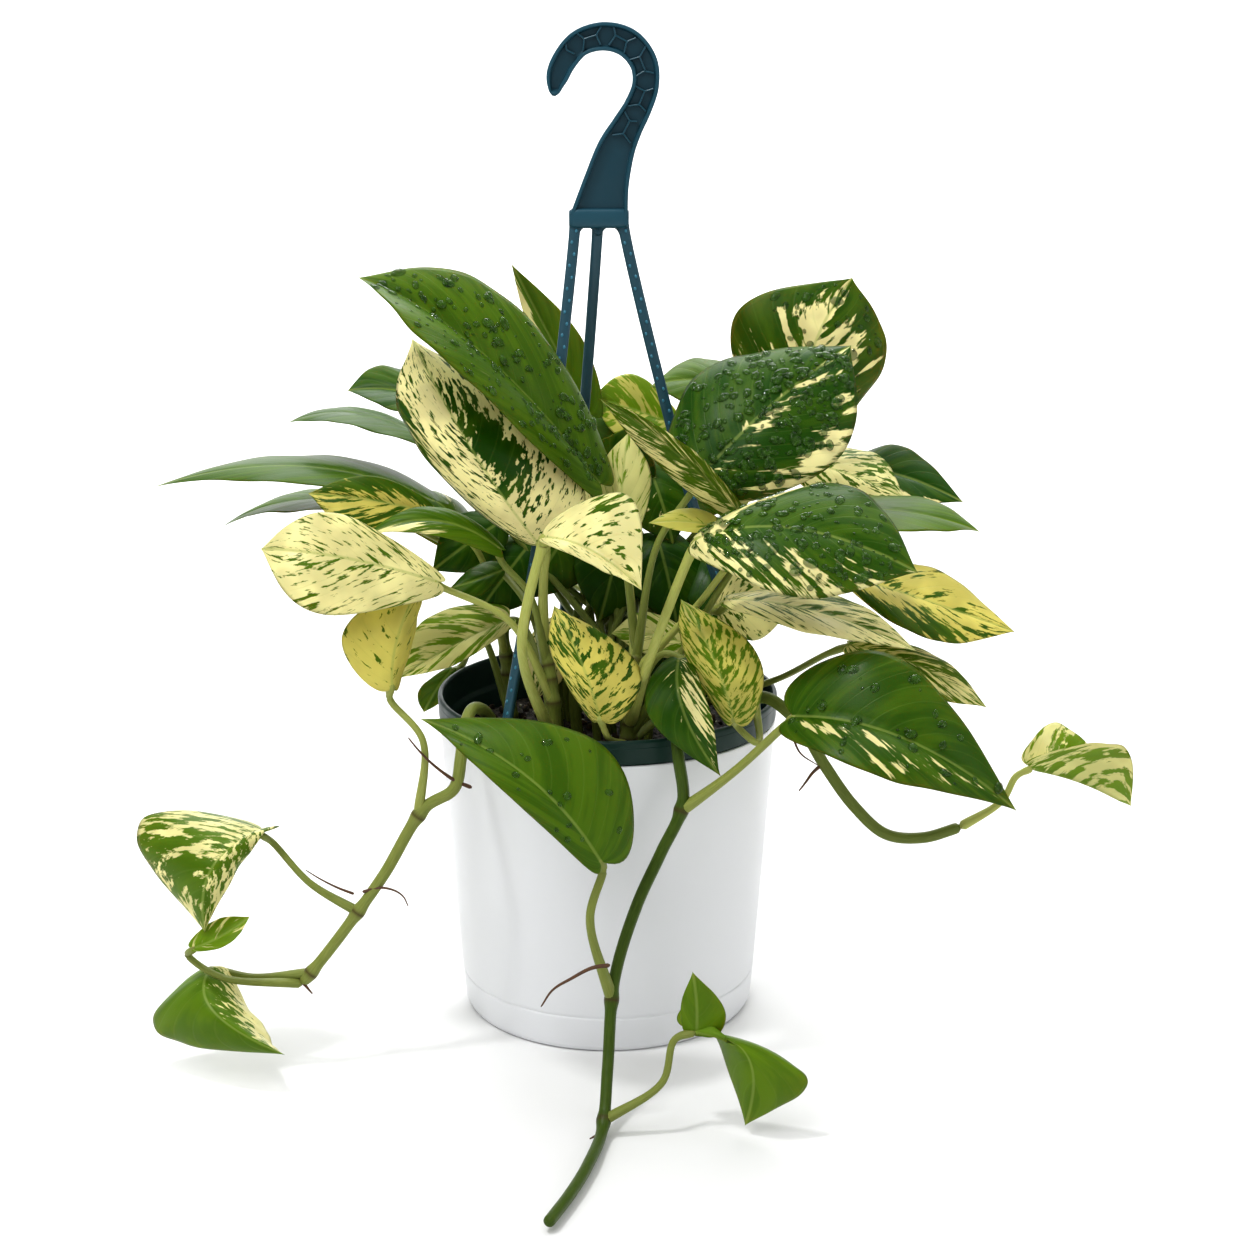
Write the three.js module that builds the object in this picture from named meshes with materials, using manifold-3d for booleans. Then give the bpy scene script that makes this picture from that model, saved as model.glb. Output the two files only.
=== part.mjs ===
// Potted pothos: a trailing house plant in its nursery pot, set in a white cover pot,
// with the three-strap plastic hanger that the nursery pot came with.
// Millimetres, +Z up. The origin is the middle of the cover pot's flat underside, and
// the front of the plant faces -Y.
import * as THREE from 'three';
import { ParametricGeometry } from 'three/addons/geometries/ParametricGeometry.js';
import { mergeVertices } from 'three/addons/utils/BufferGeometryUtils.js';
import Module from 'manifold-3d';

// ---- driving dimensions -----------------------------------------------------------

const ROUND = 40; // sides of every turned piece
const GAP = 0.4; // air left between pieces that touch

const COVER_RIM_RADIUS = 82.5;
const COVER_HEIGHT = 148;
const COVER_FOOT_RADIUS = 71;
const COVER_WALL = 1.9;
const COVER_GROOVE_HEIGHT = 18;

const GROW_RIM_RADIUS = 83;
const GROW_RIM_TOP = 160;
const GROW_FLOOR = 6;
const GROW_FLOOR_RADIUS = 60;
const GROW_WALL = 1.5;

const SOIL_TOP = 140;
const PLANTING_DEPTH = 14; // how far each stem runs down into the soil

const HOOK_DEPTH = 7; // thickness of the hook's raised flange
const HOOK_WEB = 3; // thickness of the plain web inside the flange
const HOOK_FLANGE = 2.2; // width of the flange round the hook's outline
const STRAP_WIDTH = 5;
const STRAP_FOOT_RADIUS = 76.2;
const STRAP_FOOT_HEIGHT = 153;

const STEM_RADIUS = 3.4;
const PETIOLE_RADIUS = 1.9;
const PETIOLE_STEPS = 5;
const BLADE_THICKNESS = 1.1;
const BLADE_ROWS = 9;
const BLADE_COLUMNS = 8; // once round the section, over and under

// ---- materials --------------------------------------------------------------------

function plastic(color, roughness) {
  return new THREE.MeshStandardMaterial({ color, roughness, metalness: 0 });
}

const LEAF_GREEN = 0x3f6b2a;
const LEAF_CREAM = 0xd9d38c;
const LEAF_YELLOW = 0xb9a43c;
const STEM_GREEN = 0x7f9440;

// ---- solids -----------------------------------------------------------------------

const wasm = await Module();
wasm.setup();

function toSolid(geometry) {
  const bare = geometry.clone();
  bare.deleteAttribute('normal');
  bare.deleteAttribute('uv');
  const merged = mergeVertices(bare, 1e-3);
  const index = merged.index.array;
  const faces = [];
  for (let i = 0; i < index.length; i += 3) {
    const [a, b, c] = [index[i], index[i + 1], index[i + 2]];
    if (a !== b && b !== c && c !== a) faces.push(a, b, c);
  }
  const mesh = new wasm.Mesh({
    numProp: 3,
    vertProperties: merged.attributes.position.array,
    triVerts: new Uint32Array(faces),
  });
  return new wasm.Manifold(mesh);
}

function toGeometry(solid) {
  const { vertProperties, triVerts } = solid.getMesh();
  const geometry = new THREE.BufferGeometry();
  geometry.setAttribute('position', new THREE.BufferAttribute(vertProperties, 3));
  geometry.setIndex(new THREE.BufferAttribute(triVerts, 1));
  geometry.computeVertexNormals();
  return geometry;
}

function join(geometries) {
  return toGeometry(geometries.map(toSolid).reduce((whole, next) => whole.add(next)));
}

function turned(profile) {
  const points = profile.map(([radius, height]) => new THREE.Vector2(radius, height));
  return new THREE.LatheGeometry(points, ROUND).rotateX(Math.PI / 2);
}

function circleShape(radius, sides) {
  const points = [];
  for (let i = 0; i < sides; i += 1) {
    const angle = (2 * Math.PI * i) / sides;
    points.push(new THREE.Vector2(radius * Math.cos(angle), radius * Math.sin(angle)));
  }
  return new THREE.Shape(points);
}

function tube(curve, radius, sides, steps) {
  const options = { extrudePath: curve, steps, bevelEnabled: false };
  return new THREE.ExtrudeGeometry(circleShape(radius, sides), options);
}

const group = new THREE.Group();

function place(name, geometry, material) {
  const mesh = new THREE.Mesh(geometry, material);
  mesh.name = name;
  group.add(mesh);
}

const at = ([x, y, z]) => new THREE.Vector3(x, y, z);

// ---- pots and soil ----------------------------------------------------------------

// The cover pot is one turned shell: flat foot, small foot radius, a shallow groove
// low on the wall and a plain rim.
const coverWallAt = (height) =>
  COVER_FOOT_RADIUS + 1 + ((COVER_RIM_RADIUS - COVER_FOOT_RADIUS - 1) * height) / COVER_HEIGHT;

const coverPot = turned([
  [0, 0],
  [COVER_FOOT_RADIUS - 3, 0],
  [COVER_FOOT_RADIUS - 0.8, 1],
  [COVER_FOOT_RADIUS + 0.3, 3.5],
  [coverWallAt(COVER_GROOVE_HEIGHT - 0.8), COVER_GROOVE_HEIGHT - 0.8],
  [coverWallAt(COVER_GROOVE_HEIGHT) - 0.6, COVER_GROOVE_HEIGHT],
  [coverWallAt(COVER_GROOVE_HEIGHT + 0.8), COVER_GROOVE_HEIGHT + 0.8],
  [COVER_RIM_RADIUS, COVER_HEIGHT],
  [COVER_RIM_RADIUS - COVER_WALL, COVER_HEIGHT],
  [COVER_FOOT_RADIUS - COVER_WALL, 2.6],
  [0, 2.6],
]);
place('cover_pot', coverPot, plastic(0xf1f1f1, 0.35));

// The nursery pot hangs in the cover pot by a deep rim band that sits on its edge.
const GROW_BODY_RADIUS = COVER_RIM_RADIUS - COVER_WALL - 1;
const GROW_BAND_BOTTOM = COVER_HEIGHT + GAP;
const growWallAt = (height) =>
  GROW_FLOOR_RADIUS +
  ((GROW_BODY_RADIUS - GROW_FLOOR_RADIUS) * (height - GROW_FLOOR)) / (COVER_HEIGHT - GROW_FLOOR);

const growPot = turned([
  [0, GROW_FLOOR],
  [GROW_FLOOR_RADIUS, GROW_FLOOR],
  [GROW_BODY_RADIUS, GROW_BAND_BOTTOM - 0.2],
  [GROW_RIM_RADIUS - 0.4, GROW_BAND_BOTTOM],
  [GROW_RIM_RADIUS, GROW_RIM_TOP - 1],
  [GROW_RIM_RADIUS - 0.5, GROW_RIM_TOP],
  [GROW_RIM_RADIUS - 2, GROW_RIM_TOP],
  [GROW_RIM_RADIUS - 2.3, GROW_RIM_TOP - 1],
  [GROW_BODY_RADIUS - GROW_WALL, GROW_BAND_BOTTOM - 4],
  [GROW_FLOOR_RADIUS - GROW_WALL, GROW_FLOOR + GROW_WALL],
  [0, GROW_FLOOR + GROW_WALL],
]);
place('grow_pot', growPot, plastic(0x17342f, 0.45));

const soilWallAt = (height) => growWallAt(height) - GROW_WALL - 3 * GAP;

const soilBody = turned([
  [0, GROW_FLOOR + GROW_WALL + GAP],
  [soilWallAt(GROW_FLOOR + 2), GROW_FLOOR + GROW_WALL + GAP],
  [soilWallAt(SOIL_TOP - 3), SOIL_TOP - 3],
  [soilWallAt(SOIL_TOP) - 3, SOIL_TOP],
  [0, SOIL_TOP],
]);

// ---- hanger -----------------------------------------------------------------------

// The hook is a flat plate standing in the XZ plane. Its outline is a spine of points
// [x, z, half width], from the tip over the bend and down to the crown.
const HOOK_SPINE = [
  [-24, 444, 1.8],
  [-22.5, 452, 5],
  [-19.5, 459, 5.7],
  [-12, 467.5, 6],
  [-0.5, 470.5, 6.4],
  [10, 467.5, 6.6],
  [17, 459, 6.4],
  [18, 449, 6.2],
  [14.5, 439, 6.5],
  [9.5, 430, 7.3],
  [4.5, 420, 8.8],
  [0, 405, 10.6],
  [-3.5, 388, 13.6],
];
const CROWN = [-3.5, 0, 388];
const HOOK_OUTLINE_STEPS = 22;

function bandShape(spine, inset) {
  const middle = new THREE.CatmullRomCurve3(spine.map(([x, z]) => new THREE.Vector3(x, z, 0)));
  const width = new THREE.CatmullRomCurve3(spine.map(([, , half], i) => new THREE.Vector3(i, half, 0)));
  const start = inset / 40;
  const left = [];
  const right = [];
  for (let i = 0; i <= HOOK_OUTLINE_STEPS; i += 1) {
    const t = start + ((1 - 2 * start) * i) / HOOK_OUTLINE_STEPS;
    const point = middle.getPoint(t);
    const along = middle.getTangent(t);
    const half = width.getPoint(t).y - inset;
    left.push(new THREE.Vector2(point.x - along.y * half, point.y + along.x * half));
    right.push(new THREE.Vector2(point.x + along.y * half, point.y - along.x * half));
  }
  return new THREE.Shape([...left, ...right.reverse()]);
}

// A plate of the given shape whose faces lie at y = from and y = to.
function plate(shape, from, to) {
  const slab = new THREE.ExtrudeGeometry(shape, { depth: to - from, bevelEnabled: false });
  return slab.rotateX(Math.PI / 2).translate(0, to, 0);
}

function hookPlate() {
  const whole = toSolid(plate(bandShape(HOOK_SPINE, 0), -HOOK_DEPTH / 2, HOOK_DEPTH / 2));
  const recess = bandShape(HOOK_SPINE, HOOK_FLANGE);
  const front = toSolid(plate(recess, -HOOK_DEPTH, -HOOK_WEB / 2));
  const back = toSolid(plate(recess, HOOK_WEB / 2, HOOK_DEPTH));
  return whole.subtract(front).subtract(back);
}

// Each strap leaves the crown, bows a little and ends in a flat clip inside the rim.
// [start x on the crown, foot angle in degrees]
const STRAPS = [
  [-14.5, 231],
  [-4, 110],
  [7.5, 349],
];

function strap([startX, footDegrees]) {
  const angle = THREE.MathUtils.degToRad(footDegrees);
  const outward = new THREE.Vector3(Math.cos(angle), Math.sin(angle), 0);
  const foot = outward.clone().multiplyScalar(STRAP_FOOT_RADIUS).setZ(STRAP_FOOT_HEIGHT);
  const shoulder = new THREE.Vector3(startX, 0, CROWN[2] - 1);
  const knee = shoulder.clone().lerp(foot, 0.55).addScaledVector(outward, -5);
  const curve = new THREE.CatmullRomCurve3([
    shoulder.clone().setZ(CROWN[2] + 4),
    shoulder,
    knee,
    foot,
  ]);
  const clip = new THREE.BoxGeometry(2.2, 10, 17);
  clip.rotateZ(angle).translate(foot.x, foot.y, foot.z + 1);
  return [tube(curve, STRAP_WIDTH / 2, 8, 8), clip];
}

const hangerPieces = STRAPS.flatMap(strap).map(toSolid);
const hanger = hangerPieces.reduce((whole, next) => whole.add(next), hookPlate());
place('hanger', toGeometry(hanger), plastic(0x1d4a4c, 0.4));

// ---- leaves -----------------------------------------------------------------------

// Each blade is laid out by five places: where its petiole joins, the middle of its
// midrib, its tip, and the widest places of its left and right margins. The last value
// is how far along the midrib the blade is widest.
const LEAVES = {
  leaf_01: [[-3, -30, 269], [-56, -52, 334], [-111, -48, 367], [-64, -82, 329], [-41, -24, 351], 0.42],
  leaf_02: [[-31, -55, 246], [-60, -62, 291], [-89, -30, 337], [-89, -42, 292], [-17, -36, 288], 0.42],
  leaf_03: [[-28, -78, 255], [-6, -100, 254], [16, -112, 239], [9, -94, 278], [-7, -108, 250], 0.45],
  leaf_04: [[-68, 40, 289], [-100, 48, 299], [-129, 50, 299], [-99, 28, 292], [-106, 62, 309], 0.45],
  leaf_05: [[-76, 15, 275], [-116, 8, 295], [-153, 5, 291], [-113, -15, 292], [-116, 30, 293], 0.45],
  leaf_06: [[-82, -8, 256], [-143, -26, 277], [-214, -20, 265], [-132, -42, 270], [-128, 5, 275], 0.4],
  leaf_07: [[-98, 10, 247], [-146, 5, 254], [-186, 0, 241], [-145, -20, 254], [-141, 28, 254], 0.45],
  leaf_08: [[-82, -42, 258], [-109, -46, 265], [-137, -46, 268], [-113, -54, 252], [-105, -42, 275], 0.42],
  leaf_09: [[-49, -50, 243], [-80, -57, 258], [-113, -60, 249], [-80, -66, 253], [-76, -48, 262], 0.42],
  leaf_10: [[-77, -65, 231], [-117, -80, 246], [-155, -76, 249], [-127, -92, 223], [-121, -70, 264], 0.5],
  leaf_11: [[-97, -80, 185], [-94, -74, 209], [-82, -56, 233], [-120, -72, 208], [-88, -58, 206], 0.45],
  leaf_12: [[-47, -15, 200], [-75, -30, 190], [-100, -32, 175], [-67, -38, 186], [-83, -14, 202], 0.42],
  leaf_13: [[-79, 38, 159], [-87, 30, 150], [-93, 28, 139], [-82, 30, 147], [-95, 34, 150], 0.45],
  leaf_14: [[-49, -18, 225], [-60, -32, 224], [-74, -35, 220], [-60, -38, 217], [-60, -22, 229], 0.42],
  leaf_15: [[-9, 62, 285], [-27, 58, 321], [-47, 48, 362], [-34, 50, 319], [-11, 66, 319], 0.42],
  leaf_16: [[34, 78, 277], [11, 74, 286], [-8, 70, 292], [10, 60, 271], [14, 86, 301], 0.45],
  leaf_17: [[76, 52, 294], [48, 58, 303], [21, 62, 299], [45, 42, 293], [52, 76, 311], 0.42],
  leaf_18: [[91, 25, 279], [98, 18, 323], [118, 32, 357], [60, 28, 336], [134, 30, 315], 0.46],
  leaf_19: [[41, -52, 275], [76, -42, 309], [114, -12, 331], [42, -16, 317], [104, -50, 283], 0.42],
  leaf_20: [[63, -60, 259], [28, -66, 294], [-3, -52, 313], [28, -57, 279], [39, -84, 295], 0.42],
  leaf_21: [[92, 32, 268], [119, 26, 262], [145, 22, 251], [129, 44, 270], [108, 18, 251], 0.42],
  leaf_22: [[123, 42, 261], [147, 40, 258], [176, 34, 246], [147, 56, 270], [139, 26, 248], 0.42],
  leaf_23: [[61, -5, 245], [125, -10, 253], [179, -5, 240], [133, 16, 254], [128, -32, 246], 0.42],
  leaf_24: [[41, -88, 257], [85, -100, 264], [137, -104, 245], [106, -70, 277], [81, -118, 238], 0.5],
  leaf_25: [[56, -62, 222], [96, -84, 222], [140, -86, 204], [102, -66, 226], [89, -100, 217], 0.45],
  leaf_26: [[112, -50, 230], [146, -58, 221], [190, -50, 203], [150, -36, 231], [144, -78, 208], 0.48],
  leaf_27: [[83, -110, 181], [130, -132, 178], [181, -128, 143], [125, -108, 209], [114, -150, 168], 0.42],
  leaf_28: [[112, -60, 200], [144, -64, 191], [176, -66, 171], [148, -52, 195], [139, -76, 182], 0.42],
  leaf_29: [[-3, -86, 172], [-11, -84, 198], [-24, -66, 220], [-24, -78, 198], [15, -78, 194], 0.45],
  leaf_30: [[58, -82, 170], [48, -82, 201], [34, -62, 222], [36, -76, 199], [70, -78, 198], 0.45],
  leaf_31: [[33, -75, 197], [35, -94, 178], [52, -96, 148], [47, -98, 179], [18, -90, 178], 0.42],
  leaf_32: [[-2, -128, 119], [-35, -126, 159], [-83, -104, 178], [-43, -132, 152], [0, -112, 167], 0.42],
  leaf_33: [[45, -12, 184], [23, -20, 193], [2, -24, 195], [23, -26, 184], [22, -12, 202], 0.45],
  leaf_34: [[52, -40, 213], [67, -34, 214], [87, -30, 208], [65, -26, 229], [68, -44, 197], 0.45],
  leaf_35: [[-159, -80, 115], [-179, -104, 107], [-185, -96, 72], [-161, -92, 113], [-218, -72, 117], 0.46],
  leaf_36: [[-191, -98, 65], [-177, -100, 72], [-164, -96, 80], [-182, -92, 76], [-174, -104, 69], 0.45],
  leaf_37: [[-185, -88, 51], [-180, -112, 40], [-147, -118, 21], [-161, -96, 26], [-211, -92, 21], 0.45],
  leaf_38: [[196, -70, 144], [219, -82, 141], [242, -80, 128], [212, -62, 162], [229, -104, 166], 0.52],
  leaf_39: [[39, -150, 48], [62, -164, 42], [62, -154, 4], [88, -158, 31], [42, -140, 54], 0.48],
  leaf_40: [[55, -66, 255], [38, -68, 260], [19, -72, 260], [38, -74, 256], [40, -59, 264], 0.45],
  leaf_41: [[7, -22, 238], [7, -18, 264], [10, -8, 289], [-3, -10, 267], [21, -14, 265], 0.45],
  leaf_42: [[-35, 62, 250], [-55, 92, 268], [-72, 120, 246], [-80, 77, 260], [-30, 107, 262], 0.42],
  leaf_43: [[5, 70, 268], [6, 98, 287], [4, 124, 264], [-26, 100, 278], [36, 102, 277], 0.42],
  leaf_44: [[40, 62, 240], [62, 90, 258], [84, 116, 232], [38, 105, 250], [88, 75, 248], 0.42],
  leaf_45: [[85, 45, 215], [112, 62, 232], [140, 76, 206], [98, 88, 224], [126, 36, 224], 0.42],
  leaf_46: [[-70, 50, 225], [-98, 68, 243], [-128, 82, 220], [-112, 42, 234], [-84, 94, 236], 0.42],
  leaf_47: [[-24, 88, 205], [-32, 112, 213], [-44, 134, 186], [-58, 102, 205], [-6, 122, 205], 0.42],
  leaf_48: [[22, 94, 180], [28, 114, 178], [34, 122, 142], [4, 116, 168], [54, 106, 170], 0.42],
};

// Along a margin, s runs from 0 at the petiole to 1 at the tip. The margin first runs
// back past the petiole, which makes the heart-shaped lobes.
const LOBE_DEPTH = 0.085;
const LOBE_PLACE = 0.09;
const TIP_POWER = 1.2;

function marginAlong(s) {
  const place = s / LOBE_PLACE;
  return s - LOBE_DEPTH * place * Math.exp(1 - place) * (1 - s);
}

function marginAcross(s, widest) {
  const basePower = (TIP_POWER * widest) / (1 - widest);
  const peak = widest ** basePower * (1 - widest) ** TIP_POWER;
  return (s ** basePower * (1 - s) ** TIP_POWER) / peak;
}

// The midrib is the parabola through the joint, the middle and the tip.
function midribPoint([base, middle, tip], a) {
  const point = at(base).multiplyScalar((1 - a) * (1 - 2 * a));
  point.addScaledVector(at(middle), 4 * a * (1 - a));
  return point.addScaledVector(at(tip), a * (2 * a - 1));
}

function midribSlope([base, middle, tip], a) {
  const slope = at(base).multiplyScalar(4 * a - 3);
  slope.addScaledVector(at(middle), 4 - 8 * a);
  return slope.addScaledVector(at(tip), 4 * a - 1);
}

// The under face's quads are cut along the mirror image of the upper face's diagonals,
// so that a twisted blade is the same thickness everywhere.
function matchUnderFace(lens) {
  const index = lens.index.array;
  const perRow = BLADE_COLUMNS * 6;
  for (let i = 0; i < index.length; i += 6) {
    if (i % perRow < perRow / 2) continue;
    const [a, b, d, , c] = index.slice(i, i + 6);
    index.set([a, b, c, a, c, d], i);
  }
  return lens;
}

// A blade is a closed lens: u runs once round its section, over the upper face from
// the left margin to the right and back under it, and s runs from the petiole to the tip.
function blade([base, middle, tip, left, right, widest]) {
  const rib = [base, middle, tip];
  const widestPoint = midribPoint(rib, marginAlong(widest));
  const toLeft = at(left).sub(widestPoint);
  const toRight = at(right).sub(widestPoint);
  // The direction across the blade, from right to left, on each half and over the midrib.
  const acrossAt = (v) => {
    if (v > 0) return toLeft;
    return v < 0 ? toRight.clone().negate() : at(left).sub(at(right));
  };
  const surface = (u, s, target) => {
    const v = u < 0.5 ? 1 - 4 * u : 4 * u - 3;
    const reach = Math.abs(v);
    const row = s ** 1.4;
    const a = row + (marginAlong(s) - row) * reach ** 1.5;
    const side = v > 0 ? toLeft : toRight;
    const normal = midribSlope(rib, a).cross(acrossAt(v)).normalize();
    const opening = marginAcross(s, widest);
    const sink = u < 0.5 ? 0 : BLADE_THICKNESS * (1 - v * v) * Math.min(1, 3 * opening);
    target.copy(midribPoint(rib, a));
    target.addScaledVector(side, reach * opening);
    target.addScaledVector(normal, -sink);
  };
  return matchUnderFace(new ParametricGeometry(surface, BLADE_COLUMNS, BLADE_ROWS));
}

// ---- vines ------------------------------------------------------------------------

// Each vine is one grown piece: a stem and the petioles that leave it. A petiole is
// given by how far along the stem it starts, and where its bow passes if it isn't the
// usual arch up from the stem.
const VINES = {
  crown_front_left: {
    stem: [[-24, -50, 0], [-25, -50, 170], [-30, -44, 196]],
    petioles: {
      leaf_02: [1],
      leaf_03: [0.3, [-38, -80, 205]],
      leaf_09: [0.85],
      leaf_10: [0.6],
      leaf_12: [0.25],
      leaf_14: [0.75],
    },
  },
  crown_left: {
    stem: [[-48, 8, 0], [-50, 8, 175], [-57, 10, 214]],
    petioles: {
      leaf_04: [1],
      leaf_05: [0.9],
      leaf_06: [0.8],
      leaf_07: [0.7],
      leaf_08: [0.55],
      leaf_13: [0.2, [-64, 30, 180]],
      leaf_42: [0.75],
      leaf_46: [0.45],
    },
  },
  crown_front_right: {
    stem: [[10, -56, 0], [11, -54, 165], [14, -46, 192]],
    petioles: {
      leaf_01: [1],
      leaf_19: [0.95],
      leaf_20: [0.4, [50, -58, 222]],
      leaf_24: [0.5, [20, -82, 200]],
      leaf_29: [0.35, [1, -76, 160]],
      leaf_31: [0.65, [26, -62, 196]],
      leaf_33: [0.35, [40, -22, 168]],
      leaf_40: [0.85, [48, -58, 226]],
      leaf_41: [0.9],
    },
  },
  crown_right: {
    stem: [[45, 6, 0], [46, 8, 170], [51, 10, 206]],
    petioles: {
      leaf_18: [1],
      leaf_21: [0.9],
      leaf_22: [0.8],
      leaf_23: [0.95],
      leaf_25: [0.6],
      leaf_26: [0.7],
      leaf_28: [0.3, [82, -16, 170]],
      leaf_34: [0.5],
      leaf_45: [0.65],
    },
  },
  crown_back: {
    stem: [[4, 44, 0], [4, 46, 175], [2, 52, 220]],
    petioles: {
      leaf_15: [1],
      leaf_16: [0.95],
      leaf_17: [0.9],
      leaf_43: [0.8],
      leaf_44: [0.6],
      leaf_47: [0.5],
      leaf_48: [0.3],
    },
  },
  vine_front: {
    stem: [
      [30, -46, 0],
      [30, -62, 160],
      [31, -79, 170],
      [33, -90, 155],
      [35, -92, 133],
      [25, -99, 112],
      [14, -108, 90],
      [4, -121, 60],
      [1, -140, 26],
      [-1, -158, 6],
      [-7, -190, 4.6],
      [-14, -215, 4.6],
      [-23, -240, 4.6],
    ],
    petioles: {
      leaf_27: [0.31, [58, -100, 152]],
      leaf_32: [0.58, [-7, -127, 92]],
      leaf_39: [0.74, [25, -154, 25]],
    },
  },
  vine_left: {
    stem: [
      [-50, -33, 0],
      [-53, -37, 151],
      [-58, -45, 163],
      [-63, -56, 167],
      [-66, -69, 161],
      [-67, -77, 150],
      [-70, -81, 137],
      [-84, -80, 127],
      [-103, -84, 96],
      [-117, -86, 76],
      [-129, -88, 60],
      [-142, -90, 44],
    ],
    petioles: {
      leaf_11: [0.55, [-84, -80, 160]],
      leaf_35: [0.8, [-138, -82, 91]],
      leaf_36: [1, [-178, -95, 49]],
      leaf_37: [0.97, [-166, -85, 45]],
    },
  },
  vine_right: {
    stem: [
      [60, -26, 0],
      [62, -29, 152],
      [67, -37, 165],
      [76, -48, 170],
      [90, -56, 160],
      [102, -60, 141],
      [116, -64, 122],
      [131, -66, 109],
      [148, -68, 108],
      [165, -70, 114],
    ],
    petioles: {
      leaf_30: [0.27, [69, -78, 158]],
      leaf_38: [1, [184, -70, 127]],
    },
  },
};
const STEM_SIDES = 7;
const PETIOLE_SIDES = 6;
const BEND_BACK = 7; // how far the petiole's bend lies behind the blade and below it
const BEND_BELOW = 6;
const JOINT_GAP = 1.7;
const STEM_STEP = 11; // length of one piece of a stem's tube
const FOOT = SOIL_TOP - PLANTING_DEPTH;
const HOLE_RADIUS = STEM_RADIUS + 3 * GAP;

function stemCurve(points) {
  const [[x, y]] = points;
  const planted = [[x, y, FOOT], [x, y, SOIL_TOP + 3], ...points.slice(1)];
  return new THREE.CatmullRomCurve3(planted.map(at), false, 'centripetal');
}

// A petiole arches up from its stem, bends at its top and joins its blade in line with
// the midrib, from behind and below.
function petiole(curve, leaf, [start, bow]) {
  const [base, middle, tip, left, right] = LEAVES[leaf];
  const from = curve.getPointAt(start);
  const joint = at(base);
  const slope = midribSlope([base, middle, tip], 0).normalize();
  const under = slope.clone().cross(at(left).sub(at(right))).normalize();
  const bend = joint.clone().addScaledVector(slope, -BEND_BACK).addScaledVector(under, -BEND_BELOW);
  const arch = from.clone().lerp(bend, 0.4);
  arch.z = THREE.MathUtils.lerp(from.z, bend.z, 0.7);
  const end = joint.clone().lerp(bend, JOINT_GAP / joint.distanceTo(bend));
  const path = new THREE.CatmullRomCurve3([from, bow ? at(bow) : arch, bend, end]);
  return tube(path, PETIOLE_RADIUS, PETIOLE_SIDES, PETIOLE_STEPS);
}

function vine({ stem, petioles }) {
  const curve = stemCurve(stem);
  const steps = Math.round(curve.getLength() / STEM_STEP);
  const pieces = [tube(curve, STEM_RADIUS, STEM_SIDES, steps)];
  const end = curve.getPointAt(1);
  pieces.push(new THREE.IcosahedronGeometry(STEM_RADIUS * 1.1, 0).translate(end.x, end.y, end.z));
  for (const [leaf, route] of Object.entries(petioles)) {
    pieces.push(petiole(curve, leaf, route));
  }
  return join(pieces);
}

// The soil has a hole for the foot of each stem.
function plantedSoil() {
  const holes = Object.values(VINES).map(({ stem: [[x, y]] }) => {
    const hole = new THREE.CylinderGeometry(HOLE_RADIUS, HOLE_RADIUS, PLANTING_DEPTH + 4, 10);
    return toSolid(hole.rotateX(Math.PI / 2).translate(x, y, SOIL_TOP - PLANTING_DEPTH / 2 + 1));
  });
  return toGeometry(holes.reduce((soil, hole) => soil.subtract(hole), toSolid(soilBody)));
}

place('soil', plantedSoil(), plastic(0x2b1f18, 0.95));

for (const [name, parts] of Object.entries(VINES)) {
  place(name, vine(parts), plastic(STEM_GREEN, 0.5));
}

const CREAM_LEAVES = ['leaf_02', 'leaf_03', 'leaf_10', 'leaf_21', 'leaf_34', 'leaf_38', 'leaf_41'];
const YELLOW_LEAVES = ['leaf_08', 'leaf_11', 'leaf_16', 'leaf_26', 'leaf_29', 'leaf_30', 'leaf_40'];

function leafColour(name) {
  if (CREAM_LEAVES.includes(name)) return LEAF_CREAM;
  return YELLOW_LEAVES.includes(name) ? LEAF_YELLOW : LEAF_GREEN;
}

for (const [name, places] of Object.entries(LEAVES)) {
  place(name, toGeometry(toSolid(blade(places))), plastic(leafColour(name), 0.4));
}

export default group;
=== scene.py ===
"""Potted pothos: a trailing house plant in a nursery pot and a white cover pot, with its plastic hanger.

Metres, +Z up. The origin is the middle of the cover pot's flat underside and the plant faces -Y.
Tables that repeat the plant's plan are in millimetres and are turned into metres where they are used.
"""

import math
from collections import namedtuple

import bpy
import numpy as np
from bpy.props import FloatProperty, FloatVectorProperty, IntProperty, PointerProperty
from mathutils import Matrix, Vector


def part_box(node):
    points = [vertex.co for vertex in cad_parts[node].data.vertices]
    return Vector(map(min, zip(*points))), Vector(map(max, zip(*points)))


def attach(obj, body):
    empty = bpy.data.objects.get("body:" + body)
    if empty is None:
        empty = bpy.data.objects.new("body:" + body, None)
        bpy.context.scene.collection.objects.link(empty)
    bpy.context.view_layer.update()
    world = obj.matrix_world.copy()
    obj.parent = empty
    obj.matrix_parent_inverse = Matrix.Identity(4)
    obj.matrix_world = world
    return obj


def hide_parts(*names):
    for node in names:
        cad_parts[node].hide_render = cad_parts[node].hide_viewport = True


bl_info = {
    "name": "Potted Pothos",
    "version": (1, 0, 0),
    "blender": (4, 5, 0),
    "location": "View3D > Sidebar > Pothos",
    "description": "Builds a potted pothos with its pots, soil, hanger, vines, leaves and drops",
    "category": "Object",
}

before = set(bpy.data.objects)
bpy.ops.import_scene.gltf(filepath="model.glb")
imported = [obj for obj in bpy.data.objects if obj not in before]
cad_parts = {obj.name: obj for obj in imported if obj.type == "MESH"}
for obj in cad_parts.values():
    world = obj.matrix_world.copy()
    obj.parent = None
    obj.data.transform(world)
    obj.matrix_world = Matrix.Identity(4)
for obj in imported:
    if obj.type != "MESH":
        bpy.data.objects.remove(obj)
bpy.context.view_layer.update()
MM = 0.001

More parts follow.
